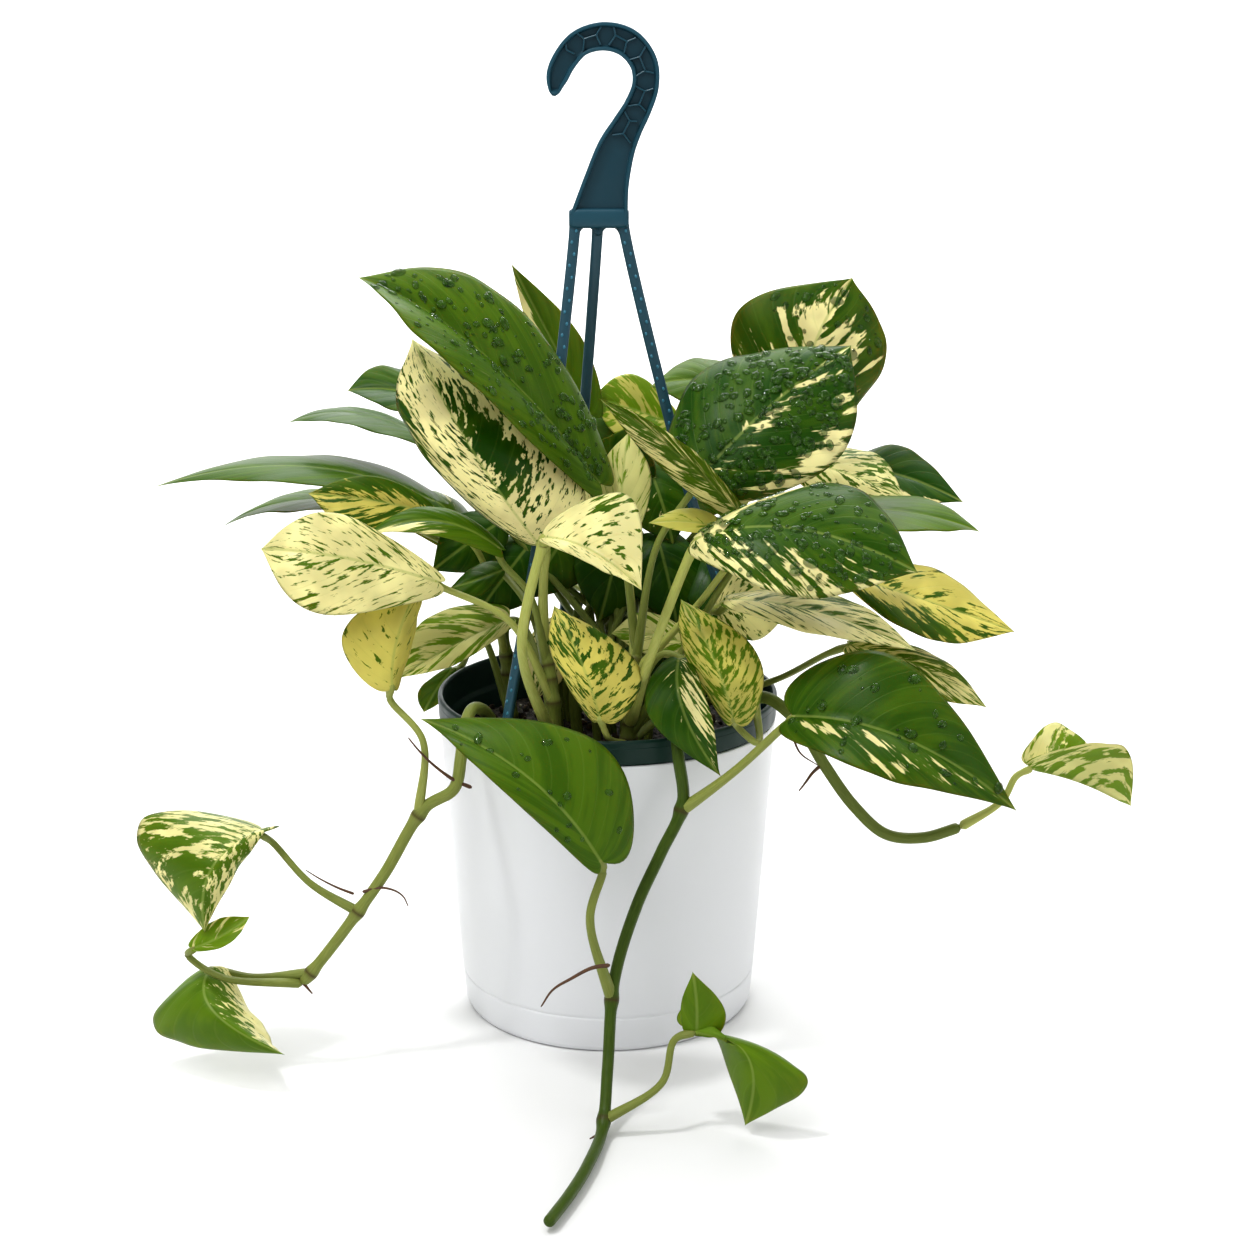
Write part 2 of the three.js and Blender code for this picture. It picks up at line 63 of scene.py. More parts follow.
COVER_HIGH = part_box("cover_pot")[1]
GROW_LOW, GROW_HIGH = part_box("grow_pot")
SOIL_LOW, SOIL_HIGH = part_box("soil")

# Each blade is laid out by five places: where its petiole joins, the middle of its midrib, its tip,
# and the widest places of its left and right margins. The last value is how far along it is widest.
LEAVES = {
    "leaf_01": ((-3, -30, 269), (-56, -52, 334), (-111, -48, 367), (-64, -82, 329), (-41, -24, 351), 0.42),
    "leaf_02": ((-31, -55, 246), (-60, -62, 291), (-89, -30, 337), (-89, -42, 292), (-17, -36, 288), 0.42),
    "leaf_03": ((-28, -78, 255), (-6, -100, 254), (16, -112, 239), (9, -94, 278), (-7, -108, 250), 0.45),
    "leaf_04": ((-68, 40, 289), (-100, 48, 299), (-129, 50, 299), (-99, 28, 292), (-106, 62, 309), 0.45),
    "leaf_05": ((-76, 15, 275), (-116, 8, 295), (-153, 5, 291), (-113, -15, 292), (-116, 30, 293), 0.45),
    "leaf_06": ((-82, -8, 256), (-143, -26, 277), (-214, -20, 265), (-132, -42, 270), (-128, 5, 275), 0.4),
    "leaf_07": ((-98, 10, 247), (-146, 5, 254), (-186, 0, 241), (-145, -20, 254), (-141, 28, 254), 0.45),
    "leaf_08": (
        (-82, -42, 258), (-109, -46, 265), (-137, -46, 268), (-113, -54, 252), (-105, -42, 275), 0.42,
    ),
    "leaf_09": ((-49, -50, 243), (-80, -57, 258), (-113, -60, 249), (-80, -66, 253), (-76, -48, 262), 0.42),
    "leaf_10": ((-77, -65, 231), (-117, -80, 246), (-155, -76, 249), (-127, -92, 223), (-121, -70, 264), 0.5),
    "leaf_11": ((-97, -80, 185), (-94, -74, 209), (-82, -56, 233), (-120, -72, 208), (-88, -58, 206), 0.45),
    "leaf_12": ((-47, -15, 200), (-75, -30, 190), (-100, -32, 175), (-67, -38, 186), (-83, -14, 202), 0.42),
    "leaf_13": ((-79, 38, 159), (-87, 30, 150), (-93, 28, 139), (-82, 30, 147), (-95, 34, 150), 0.45),
    "leaf_14": ((-49, -18, 225), (-60, -32, 224), (-74, -35, 220), (-60, -38, 217), (-60, -22, 229), 0.42),
    "leaf_15": ((-9, 62, 285), (-27, 58, 321), (-47, 48, 362), (-34, 50, 319), (-11, 66, 319), 0.42),
    "leaf_16": ((34, 78, 277), (11, 74, 286), (-8, 70, 292), (10, 60, 271), (14, 86, 301), 0.45),
    "leaf_17": ((76, 52, 294), (48, 58, 303), (21, 62, 299), (45, 42, 293), (52, 76, 311), 0.42),
    "leaf_18": ((91, 25, 279), (98, 18, 323), (118, 32, 357), (60, 28, 336), (134, 30, 315), 0.46),
    "leaf_19": ((41, -52, 275), (76, -42, 309), (114, -12, 331), (42, -16, 317), (104, -50, 283), 0.42),
    "leaf_20": ((63, -60, 259), (28, -66, 294), (-3, -52, 313), (28, -57, 279), (39, -84, 295), 0.42),
    "leaf_21": ((92, 32, 268), (119, 26, 262), (145, 22, 251), (129, 44, 270), (108, 18, 251), 0.42),
    "leaf_22": ((123, 42, 261), (147, 40, 258), (176, 34, 246), (147, 56, 270), (139, 26, 248), 0.42),
    "leaf_23": ((61, -5, 245), (125, -10, 253), (179, -5, 240), (133, 16, 254), (128, -32, 246), 0.42),
    "leaf_24": ((41, -88, 257), (85, -100, 264), (137, -104, 245), (106, -70, 277), (81, -118, 238), 0.5),
    "leaf_25": ((56, -62, 222), (96, -84, 222), (140, -86, 204), (102, -66, 226), (89, -100, 217), 0.45),
    "leaf_26": ((112, -50, 230), (146, -58, 221), (190, -50, 203), (150, -36, 231), (144, -78, 208), 0.48),
    "leaf_27": (
        (83, -110, 181), (130, -132, 178), (181, -128, 143), (125, -108, 209), (114, -150, 168), 0.42,
    ),
    "leaf_28": ((112, -60, 200), (144, -64, 191), (176, -66, 171), (148, -52, 195), (139, -76, 182), 0.42),
    "leaf_29": ((-3, -86, 172), (-11, -84, 198), (-24, -66, 220), (-24, -78, 198), (15, -78, 194), 0.45),
    "leaf_30": ((58, -82, 170), (48, -82, 201), (34, -62, 222), (36, -76, 199), (70, -78, 198), 0.45),
    "leaf_31": ((33, -75, 197), (35, -94, 178), (52, -96, 148), (47, -98, 179), (18, -90, 178), 0.42),
    "leaf_32": ((-2, -128, 119), (-35, -126, 159), (-83, -104, 178), (-43, -132, 152), (0, -112, 167), 0.42),
    "leaf_33": ((45, -12, 184), (23, -20, 193), (2, -24, 195), (23, -26, 184), (22, -12, 202), 0.45),
    "leaf_34": ((52, -40, 213), (67, -34, 214), (87, -30, 208), (65, -26, 229), (68, -44, 197), 0.45),
    "leaf_35": (
        (-159, -80, 115), (-179, -104, 107), (-185, -96, 72), (-161, -92, 113), (-218, -72, 117), 0.46,
    ),
    "leaf_36": ((-191, -98, 65), (-177, -100, 72), (-164, -96, 80), (-182, -92, 76), (-174, -104, 69), 0.45),
    "leaf_37": ((-185, -88, 51), (-180, -112, 40), (-147, -118, 21), (-161, -96, 26), (-211, -92, 21), 0.45),
    "leaf_38": ((196, -70, 144), (219, -82, 141), (242, -80, 128), (212, -62, 162), (229, -104, 166), 0.52),
    "leaf_39": ((39, -150, 48), (62, -164, 42), (62, -154, 4), (88, -158, 31), (42, -140, 54), 0.48),
    "leaf_40": ((55, -66, 255), (38, -68, 260), (19, -72, 260), (38, -74, 256), (40, -59, 264), 0.45),
    "leaf_41": ((7, -22, 238), (7, -18, 264), (10, -8, 289), (-3, -10, 267), (21, -14, 265), 0.45),
    "leaf_42": ((-35, 62, 250), (-55, 92, 268), (-72, 120, 246), (-80, 77, 260), (-30, 107, 262), 0.42),
    "leaf_43": ((5, 70, 268), (6, 98, 287), (4, 124, 264), (-26, 100, 278), (36, 102, 277), 0.42),
    "leaf_44": ((40, 62, 240), (62, 90, 258), (84, 116, 232), (38, 105, 250), (88, 75, 248), 0.42),
    "leaf_45": ((85, 45, 215), (112, 62, 232), (140, 76, 206), (98, 88, 224), (126, 36, 224), 0.42),
    "leaf_46": ((-70, 50, 225), (-98, 68, 243), (-128, 82, 220), (-112, 42, 234), (-84, 94, 236), 0.42),
    "leaf_47": ((-24, 88, 205), (-32, 112, 213), (-44, 134, 186), (-58, 102, 205), (-6, 122, 205), 0.42),
    "leaf_48": ((22, 94, 180), (28, 114, 178), (34, 122, 142), (4, 116, 168), (54, 106, 170), 0.42),
}

# Each vine is a stem and the petioles that leave it. A petiole is given by how far along the stem it
# starts, and where its bow passes if that isn't the usual arch.
VINES = {
    "crown_front_left": {
        "stem": [(-24, -50, 0), (-25, -50, 170), (-30, -44, 196)],
        "petioles": {
            "leaf_02": (1, None),
            "leaf_03": (0.3, (-38, -80, 205)),
            "leaf_09": (0.85, None),
            "leaf_10": (0.6, None),
            "leaf_12": (0.25, None),
            "leaf_14": (0.75, None),
        },
    },
    "crown_left": {
        "stem": [(-48, 8, 0), (-50, 8, 175), (-57, 10, 214)],
        "petioles": {
            "leaf_04": (1, None),
            "leaf_05": (0.9, None),
            "leaf_06": (0.8, None),
            "leaf_07": (0.7, None),
            "leaf_08": (0.55, None),
            "leaf_13": (0.2, (-64, 30, 180)),
            "leaf_42": (0.75, None),
            "leaf_46": (0.45, None),
        },
    },
    "crown_front_right": {
        "stem": [(10, -56, 0), (11, -54, 165), (14, -46, 192)],
        "petioles": {
            "leaf_01": (1, None),
            "leaf_19": (0.95, None),
            "leaf_20": (0.4, (50, -58, 222)),
            "leaf_24": (0.5, (20, -82, 200)),
            "leaf_29": (0.35, (1, -76, 160)),
            "leaf_31": (0.65, (26, -62, 196)),
            "leaf_33": (0.35, (40, -22, 168)),
            "leaf_40": (0.85, (48, -58, 226)),
            "leaf_41": (0.9, None),
        },
    },
    "crown_right": {
        "stem": [(45, 6, 0), (46, 8, 170), (51, 10, 206)],
        "petioles": {
            "leaf_18": (1, None),
            "leaf_21": (0.9, None),
            "leaf_22": (0.8, None),
            "leaf_23": (0.95, None),
            "leaf_25": (0.6, None),
            "leaf_26": (0.7, None),
            "leaf_28": (0.3, (82, -16, 170)),
            "leaf_34": (0.5, None),
            "leaf_45": (0.65, None),
        },
    },
    "crown_back": {
        "stem": [(4, 44, 0), (4, 46, 175), (2, 52, 220)],
        "petioles": {
            "leaf_15": (1, None),
            "leaf_16": (0.95, None),
            "leaf_17": (0.9, None),
            "leaf_43": (0.8, None),
            "leaf_44": (0.6, None),
            "leaf_47": (0.5, None),
            "leaf_48": (0.3, None),
        },
    },
    "vine_front": {
        "stem": [
            (30, -46, 0), (30, -62, 160), (31, -79, 170), (33, -90, 155), (35, -92, 133),
            (25, -99, 112), (14, -108, 90), (4, -121, 60), (1, -140, 26), (-1, -158, 6),
            (-7, -190, 4.6), (-14, -215, 4.6), (-23, -240, 4.6),
        ],
        "petioles": {
            "leaf_27": (0.31, (58, -100, 152)),
            "leaf_32": (0.58, (-7, -127, 92)),
            "leaf_39": (0.74, (25, -154, 25)),
        },
    },
    "vine_left": {
        "stem": [
            (-50, -33, 0), (-53, -37, 151), (-58, -45, 163), (-63, -56, 167), (-66, -69, 161),
            (-67, -77, 150), (-70, -81, 137), (-84, -80, 127), (-103, -84, 96), (-117, -86, 76),
            (-129, -88, 60), (-142, -90, 44),
        ],
        "petioles": {
            "leaf_11": (0.55, (-84, -80, 160)),
            "leaf_35": (0.8, (-138, -82, 91)),
            "leaf_36": (1, (-178, -95, 49)),
            "leaf_37": (0.97, (-166, -85, 45)),
        },
    },
    "vine_right": {
        "stem": [
            (60, -26, 0), (62, -29, 152), (67, -37, 165), (76, -48, 170), (90, -56, 160),
            (102, -60, 141), (116, -64, 122), (131, -66, 109), (148, -68, 108), (165, -70, 114),
        ],
        "petioles": {
            "leaf_30": (0.27, (69, -78, 158)),
            "leaf_38": (1, (184, -70, 127)),
        },
    },
}

# The standing half of the folded front leaf, as a blade of its own.
STANDING_HALF = ((40, -151, 46), (40, -154, 62), (38, -156, 79), (33, -151, 58), (53, -153, 56), 0.3)
STANDING_BULGE, STANDING_SEED = 0.05, 60

# How each blade looks: material slot, share of its face that is green, how much of the pattern is
# small specks rather than streaks, how light its green is, how much its halves bulge, and strokes of
# more (+) or less (-) green as (along, across, length, width, change). Across is 1 at the left margin.
Look = namedtuple("Look", "slot green specks lightness bulge strokes")
LOOKS = {
    # leaf_01's lightness is partly its own light green and partly painted sheen, for the bright sky that its
    # glancing face reflects.
    "leaf_01": Look("leaf_green", 1.00, 0.1, 0.32, 0.10, [(0.30, 0.5, 0.30, 0.5, -0.03)]),
    "leaf_02": Look("leaf_cream", 0.19, 0.85, 0.05, 0.08, [
        (0.60, -0.25, 0.22, 0.26, 0.85), (0.30, 0.95, 0.28, 0.20, 0.75),
        (0.08, 0.80, 0.10, 0.30, 0.70), (0.60, 0.90, 0.06, 0.14, 0.60),
    ]),
    "leaf_03": Look("leaf_cream", 0.15, 0.8, 0.25, 0.06, [
        (0.45, 0.85, 0.12, 0.25, 0.55), (0.65, 0.30, 0.15, 0.30, 0.22),
    ]),
    "leaf_04": Look("leaf_green", 1.00, 0.3, 0.08, 0.06, []),
    "leaf_05": Look("leaf_green", 1.00, 0.3, 0.15, 0.05, []),
    "leaf_06": Look("leaf_green", 1.00, 0.3, 0.22, 0.04, []),
    "leaf_07": Look("leaf_green", 1.00, 0.3, 0.25, 0.05, []),
    "leaf_08": Look("leaf_yellow", 0.45, 0.6, 0.20, 0.08, [(0.4, -0.8, 0.4, 0.35, 0.6)]),
    "leaf_09": Look("leaf_green", 0.95, 0.3, 0.30, 0.07, [(0.75, 0.75, 0.30, 0.50, -0.95)]),
    "leaf_10": Look("leaf_cream", 0.22, 0.6, 0.35, 0.05, [
        (0.35, -0.7, 0.2, 0.35, 0.18), (0.55, 0.2, 0.3, 0.2, 0.12),
    ]),
    "leaf_11": Look("leaf_yellow", 0.13, 0.8, 0.40, 0.07, []),
    "leaf_12": Look("leaf_green", 0.42, 0.25, 0.85, 0.07, []),
    "leaf_13": Look("leaf_green", 1.00, 0.3, 0.30, 0.05, []),
    "leaf_14": Look("leaf_green", 1.00, 0.3, 0.15, 0.05, []),
    "leaf_15": Look("leaf_green", 0.97, 0.1, 0.40, 0.05, [(0.55, 0.85, 0.5, 0.35, -0.75)]),
    "leaf_16": Look("leaf_yellow", 0.62, 0.0, 0.85, 0.06, []),
    "leaf_17": Look("leaf_green", 1.00, 0.1, 0.35, 0.06, []),
    "leaf_18": Look("leaf_green", 0.97, 0.2, 0.15, 0.06, [
        (0.72, 0.10, 0.36, 0.42, -0.85), (0.55, -0.5, 0.14, 0.3, -0.8),
        (0.2, 0.95, 0.15, 0.2, -0.5),
    ]),
    "leaf_19": Look("leaf_green", 1.00, 0.15, 0.05, 0.10, [
        (0.62, -0.12, 0.36, 0.13, -0.66), (0.34, -0.86, 0.45, 0.20, -0.66),
        (0.90, -0.3, 0.10, 0.3, -0.4),
    ]),
    "leaf_20": Look("leaf_green", 0.70, 0.5, 0.40, 0.06, [(0.5, 0.7, 0.5, 0.3, -0.3)]),
    "leaf_21": Look("leaf_cream", 0.34, 0.9, 0.35, 0.06, []),
    "leaf_22": Look("leaf_green", 1.00, 0.2, 0.00, 0.06, [(0.5, -0.9, 0.5, 0.25, -0.5)]),
    "leaf_23": Look("leaf_green", 1.00, 0.2, 0.35, 0.05, []),
    "leaf_24": Look("leaf_green", 1.00, 0.2, 0.12, 0.10, [
        (0.05, 0.2, 0.13, 1.0, -0.92), (0.14, 0.35, 0.16, 0.5, -0.85),
        (0.45, -0.95, 0.55, 0.55, -0.60), (0.30, 0.95, 0.22, 0.30, -0.35),
    ]),
    "leaf_25": Look("leaf_green", 0.36, 0.45, 0.30, 0.06, []),
    "leaf_26": Look("leaf_yellow", 0.22, 0.45, 0.20, 0.06, [
        (0.35, -0.8, 0.4, 0.3, 0.75), (0.55, 0.1, 0.35, 0.12, 0.3),
    ]),
    "leaf_27": Look("leaf_green", 1.00, 0.25, 0.15, 0.07, [
        (0.35, -0.35, 0.30, 0.16, -0.58), (0.55, -0.75, 0.18, 0.16, -0.52),
        (0.80, -0.45, 0.14, 0.2, -0.5),
    ]),
    "leaf_28": Look("leaf_green", 0.50, 0.6, 0.45, 0.06, []),
    "leaf_29": Look("leaf_yellow", 0.34, 0.9, 0.15, 0.06, [(0.9, 0.2, 0.2, 0.7, 0.2)]),
    "leaf_30": Look("leaf_yellow", 0.42, 0.75, 0.55, 0.06, []),
    "leaf_31": Look("leaf_green", 0.97, 0.6, 0.10, 0.06, [(0.5, 0.6, 0.6, 0.5, -0.58)]),
    "leaf_32": Look("leaf_green", 1.00, 0.0, 0.28, 0.08, []),
    "leaf_33": Look("leaf_green", 0.35, 0.3, 0.80, 0.06, []),
    "leaf_34": Look("leaf_cream", 0.24, 0.8, 0.30, 0.06, []),
    "leaf_35": Look("leaf_green", 0.50, 0.5, 0.45, 0.06, [
        (0.45, -0.45, 0.30, 0.40, -0.25), (0.65, -0.35, 0.3, 0.4, 0.45),
    ]),
    "leaf_36": Look("leaf_green", 0.80, 0.2, 0.80, 0.04, []),
    "leaf_37": Look("leaf_green", 1.00, 0.8, 0.50, 0.06, [(0.55, 0.95, 1.2, 0.60, -0.92)]),
    "leaf_38": Look("leaf_cream", 0.42, 0.25, 0.75, 0.06, []),
    "leaf_39": Look("leaf_green", 1.00, 0.0, 0.60, 0.06, []),
    "leaf_40": Look("leaf_yellow", 0.22, 0.5, 0.70, 0.04, []),
    "leaf_41": Look("leaf_cream", 0.30, 0.3, 0.95, 0.05, []),
    "leaf_42": Look("leaf_green", 0.95, 0.3, 0.35, 0.07, [(0.5, 0.5, 0.3, 0.3, -0.5)]),
    "leaf_43": Look("leaf_green", 0.80, 0.3, 0.25, 0.07, []),
    "leaf_44": Look("leaf_green", 1.00, 0.2, 0.30, 0.07, [(0.4, -0.5, 0.3, 0.3, -0.6)]),
    "leaf_45": Look("leaf_green", 0.70, 0.4, 0.30, 0.07, []),
    "leaf_46": Look("leaf_green", 0.97, 0.2, 0.40, 0.07, [(0.6, -0.4, 0.3, 0.3, -0.5)]),
    "leaf_47": Look("leaf_green", 0.55, 0.5, 0.30, 0.07, []),
    "leaf_48": Look("leaf_green", 1.00, 0.2, 0.15, 0.07, []),
}

# Drops of water: how many lie on each wet blade.
WET_LEAVES = {"leaf_19": 380, "leaf_24": 220, "leaf_01": 220, "leaf_27": 40, "leaf_18": 70, "leaf_32": 20}

# Small leaves in the heart of the plant: base, tip, half width, and which of INNER_LOOKS each has.
# Their upper faces turn towards INNER_FACING. SPARE_STALKS more petioles stand there with no blade.
INNER_FACING = (0.1, -1.0, 0.45)
INNER_SEED = 70
SPARE_STALKS = 14
INNER_LOOKS = [
    Look("leaf_green", 1.00, 0.3, 0.02, 0.06, []),
    Look("leaf_green", 0.86, 0.6, 0.10, 0.06, []),
    Look("leaf_green", 0.35, 0.7, 0.25, 0.06, []),
]
INNER_LEAVES = [
    ((-38, 12, 230), (-64, -6, 198), 17, 0),
    ((-16, 20, 240), (-40, 4, 204), 19, 1),
    ((8, 18, 238), (-4, 0, 194), 20, 0),
    ((24, 16, 234), (34, -4, 192), 19, 0),
    ((46, 14, 224), (64, -8, 192), 17, 0),
    ((-4, 24, 264), (-28, 10, 234), 17, 2),
    ((20, 26, 266), (32, 12, 230), 18, 1),
    ((2, 28, 252), (12, 16, 288), 18, 0),
    ((-20, 30, 252), (-34, 20, 288), 17, 0),
    ((-52, 8, 242), (-84, -10, 222), 15, 0),
    ((58, 12, 240), (84, -6, 224), 16, 0),
    ((12, 2, 190), (18, -16, 158), 13, 0),
    ((-22, 2, 194), (-34, -16, 160), 13, 2),
    ((34, 6, 196), (50, -14, 164), 14, 1),
]

# The middle line of the hook's plate as (x, z, half width), from its tip round and down to the crown.
HOOK_SPINE = [
    (-24, 444, 1.8), (-22.5, 452, 5), (-19.5, 459, 5.7), (-12, 467.5, 6), (-0.5, 470.5, 6.4),
    (10, 467.5, 6.6), (17, 459, 6.4), (18, 449, 6.2), (14.5, 439, 6.5), (9.5, 430, 7.3),
    (4.5, 420, 8.8), (0, 405, 10.6), (-3.5, 388, 13.6),
]

# The honeycomb of ribs inside the hook's flange, as broken lines of (x, z).
HOOK_RIBS = [
    [(-18.4, 467.2), (-18.0, 464.4), (-14.4, 462.7)],
    [(-13.4, 472.0), (-9.9, 469.4), (-10.4, 464.2)],
    [(-9.9, 469.4), (-4.5, 471.1)],
    [(-2.2, 474.8), (-4.5, 471.1), (-2.5, 466.7)],
    [(3.4, 474.7), (4.4, 470.9), (1.3, 466.7)],
    [(4.4, 470.9), (9.4, 468.2)],
    [(13.5, 469.8), (9.4, 468.2), (8.1, 463.0)],
    [(18.0, 466.0), (15.3, 461.4), (10.4, 460.1)],
    [(15.3, 461.4), (17.7, 455.7)],
    [(13.2, 452.7), (17.3, 455.2), (21.7, 454.2)],
    [(13.2, 448.5), (17.6, 446.1), (21.4, 447.3)],
    [(17.6, 446.1), (15.1, 440.3)],
    [(9.7, 439.5), (15.1, 440.3), (18.1, 437.1)],
    [(8.4, 437.1), (10.7, 432.8), (14.2, 432.6)],
    [(10.7, 432.8), (7.8, 427.2)],
    [(2.8, 426.5), (7.8, 427.2), (11.1, 422.9)],
]

# The arched webs between the straps under the crown, each from its left foot's x to its right foot's x.
CROWN_ARCHES = [(-13.0, -5.4), (-2.6, 6.2)]

# The crown's foot is a bar from the first x to the second, at this height.
CROWN_ENDS, CROWN_HEIGHT = (-17.4, 10.4), 388.6
SHOULDER_HEIGHT = 387.0
STRAP_FOOT_RADIUS, STRAP_FOOT_HEIGHT = 76.2, 153
CLIP_LOW, CLIP_HIGH = 144.9, 162.4

# Each strap: where it leaves the crown, and the angle of its foot round the rim in degrees.
STRAPS = [(-14.5, 231), (-4, 110), (7.5, 349)]

# Brown aerial roots as (x, y, z), and the radius that they start with.
ROOTS = [
    ([(-62, -80, 137), (-70, -82, 141.5), (-79, -83, 149), (-85.6, -83, 156), (-90.5, -82, 162)], 1.0),
    ([(-113, -86, 88), (-105, -87, 90.5), (-98, -88, 89.5), (-94, -88, 86.5), (-91.7, -89, 82)], 0.8),
    ([(-117, -86, 87), (-124.3, -86, 90), (-132.5, -84, 93.5), (-139.8, -82, 97.4)], 0.7),
    ([(-143, -90, 46), (-140.3, -91, 43), (-137.2, -92, 39.5)], 1.0),
    ([(2, -141, 75.5), (-6, -143, 75), (-15.3, -144, 70.3), (-23.3, -144, 65), (-28.7, -143, 56.3)], 1.0),
    ([(0, -160, 5.6), (-4.2, -162, 3.4), (-7, -163, 2.2)], 0.9),
    ([(101.3, -60, 142), (96.3, -62, 138), (92.7, -64, 133.6), (89.9, -64, 129.7)], 1.0),
    ([(86, -58, 158), (90.1, -62, 148), (98.5, -63, 142)], 0.7),
]


# ---- settings ---------------------------------------------------------------------

COLOUR = {"size": 3, "min": 0, "max": 1, "subtype": "COLOR"}


class PotSettings(bpy.types.PropertyGroup):
    cover_colour: FloatVectorProperty(
        name="Cover pot colour", description="Colour of the glossy outer pot",
        default=(0.76, 0.77, 0.79), **COLOUR,
    )
    grow_colour: FloatVectorProperty(
        name="Nursery pot colour", description="Colour of the pot that the plant grows in",
        default=(0.006, 0.030, 0.022), **COLOUR,
    )
    wall: FloatProperty(
        name="Wall", description="Thickness of the cover pot's wall",
        default=1.9 * MM, min=1 * MM, max=4 * MM, unit="LENGTH",
    )


class SoilSettings(bpy.types.PropertyGroup):
    relief: FloatProperty(
        name="Relief", description="Height of the soil's lumps",
        default=3 * MM, min=0, max=6 * MM, unit="LENGTH",
    )
    bits: IntProperty(
        name="Bits", description="Bark and perlite bits on the soil", default=170, min=0, max=400
    )


class HangerSettings(bpy.types.PropertyGroup):
    colour: FloatVectorProperty(
        name="Hanger colour", description="Colour of the hook and its straps",
        default=(0.016, 0.074, 0.106), **COLOUR,
    )
    depth: FloatProperty(
        name="Flange depth", description="Thickness of the hook's raised flange",
        default=7 * MM, min=4 * MM, max=7 * MM, unit="LENGTH",
    )
    strap_width: FloatProperty(
        name="Strap width", description="Width of each strap",
        default=4.6 * MM, min=3 * MM, max=5 * MM, unit="LENGTH",
    )


class VineSettings(bpy.types.PropertyGroup):
    stem_radius: FloatProperty(
        name="Stem radius", description="Radius of a vine's stem between two nodes",
        default=2.9 * MM, min=1.5 * MM, max=3.4 * MM, unit="LENGTH",
    )
    petiole_radius: FloatProperty(
        name="Petiole radius", description="Radius of a leaf's stalk halfway along",
        default=1.9 * MM, min=1 * MM, max=2.4 * MM, unit="LENGTH",
    )


class LeafSettings(bpy.types.PropertyGroup):
    thickness: FloatProperty(
        name="Thickness", description="Thickness of a blade between its veins",
        default=0.6 * MM, min=0.3 * MM, max=1.1 * MM, unit="LENGTH",
    )
    vein_depth: FloatProperty(
        name="Vein depth", description="How deep the side veins are pressed into a blade",
        default=0.09 * MM, min=0, max=0.6 * MM, unit="LENGTH",
    )
    deep_green: FloatVectorProperty(
        name="Deep green", description="Darkest green of the blades",
        default=(0.015, 0.064, 0.001), **COLOUR,
    )
    light_green: FloatVectorProperty(
        name="Light green", description="Lightest green of the blades",
        default=(0.15, 0.26, 0.008), **COLOUR,
    )
    cream: FloatVectorProperty(
        name="Cream", description="Colour of the pale streaks and of the cream blades",
        default=(0.88, 0.80, 0.38), **COLOUR,
    )
    yellow: FloatVectorProperty(
        name="Yellow", description="Colour of the pale parts of the yellowed blades",
        default=(0.64, 0.56, 0.13), **COLOUR,
    )


class DropSettings(bpy.types.PropertyGroup):
    size: FloatProperty(
        name="Drop radius", description="Radius of the largest drops",
        default=2.6 * MM, min=0.5 * MM, max=4 * MM, unit="LENGTH",
    )


class StageSettings(bpy.types.PropertyGroup):
    pitch: FloatProperty(
        name="Camera pitch", description="How far the camera looks down",
        default=0.2709, min=0, max=1.5, subtype="ANGLE",
    )
    place: FloatVectorProperty(
        name="Camera place", description="Where the camera stands",
        default=(0.0095, -1.1, 0.497), size=3, subtype="TRANSLATION", unit="LENGTH",
    )
    lens: FloatProperty(
        name="Lens", description="Focal length for a 36 mm sensor",
        default=67.32, min=20, max=200, unit="CAMERA",
    )


# ---- surfaces ---------------------------------------------------------------------


class Shell:
    """A closed surface: its points, four-sided and three-sided faces, and named values per point."""

    def __init__(self, points, quads, triangles, values):
        self.points = points
        self.quads = quads
        self.triangles = triangles
        self.values = values


def closed_loft(rings, start, end, values=None):
    """The closed surface over rings of points, rings[row, column], whose ends meet the points start and end.

    Point (row, column) joins (row, column + 1), the last column joins the first, each row joins the next,
    and a fan of triangles joins the first and last rings to the two ends. If the six-fold volume, the sum
    of a . (b x c) over the triangles a, b, c, is negative, every face is turned over.
    """
    rows, columns = rings.shape[:2]
    points = np.concatenate([rings.reshape(-1, 3), [start], [end]])
    column = np.arange(columns)
    after = (column + 1) % columns
    row = np.arange(rows - 1)[:, None] * columns
    quads = np.stack(
        [row + column, row + after, row + columns + after, row + columns + column], axis=-1
    ).reshape(-1, 4)
    last = (rows - 1) * columns
    first_pole = np.full(columns, rows * columns)
    triangles = np.concatenate(
        [
            np.stack([after, column, first_pole], axis=1),
            np.stack([last + column, last + after, first_pole + 1], axis=1),
        ]
    )
    halves = np.concatenate([quads[:, [0, 1, 2]], quads[:, [0, 2, 3]], triangles])
    a, b, c = (points[halves[:, k]] - points[0] for k in range(3))
    if np.einsum("ij,ij->i", a, np.cross(b, c)).sum() < 0:
        quads = quads[:, ::-1]
        triangles = triangles[:, ::-1]
    spread = {}
    for name, value in (values or {}).items():
        value = np.broadcast_to(value, (rows, columns, *np.shape(value)[2:]))
        flat = value.reshape(rows * columns, -1)
        ends = [value[0].reshape(columns, -1).mean(0), value[-1].reshape(columns, -1).mean(0)]
        spread[name] = np.concatenate([flat, ends])
    return Shell(points, quads, triangles, spread)


def gather(shells):
    """One shell that holds several, with their faces counted on from each other."""
    start = np.cumsum([0] + [len(shell.points) for shell in shells[:-1]])
    names = shells[0].values
    return Shell(
        np.concatenate([shell.points for shell in shells]),
        np.concatenate([shell.quads + n for shell, n in zip(shells, start)]),
        np.concatenate([shell.triangles + n for shell, n in zip(shells, start)]),
        {name: np.concatenate([shell.values[name] for shell in shells]) for name in names},
    )


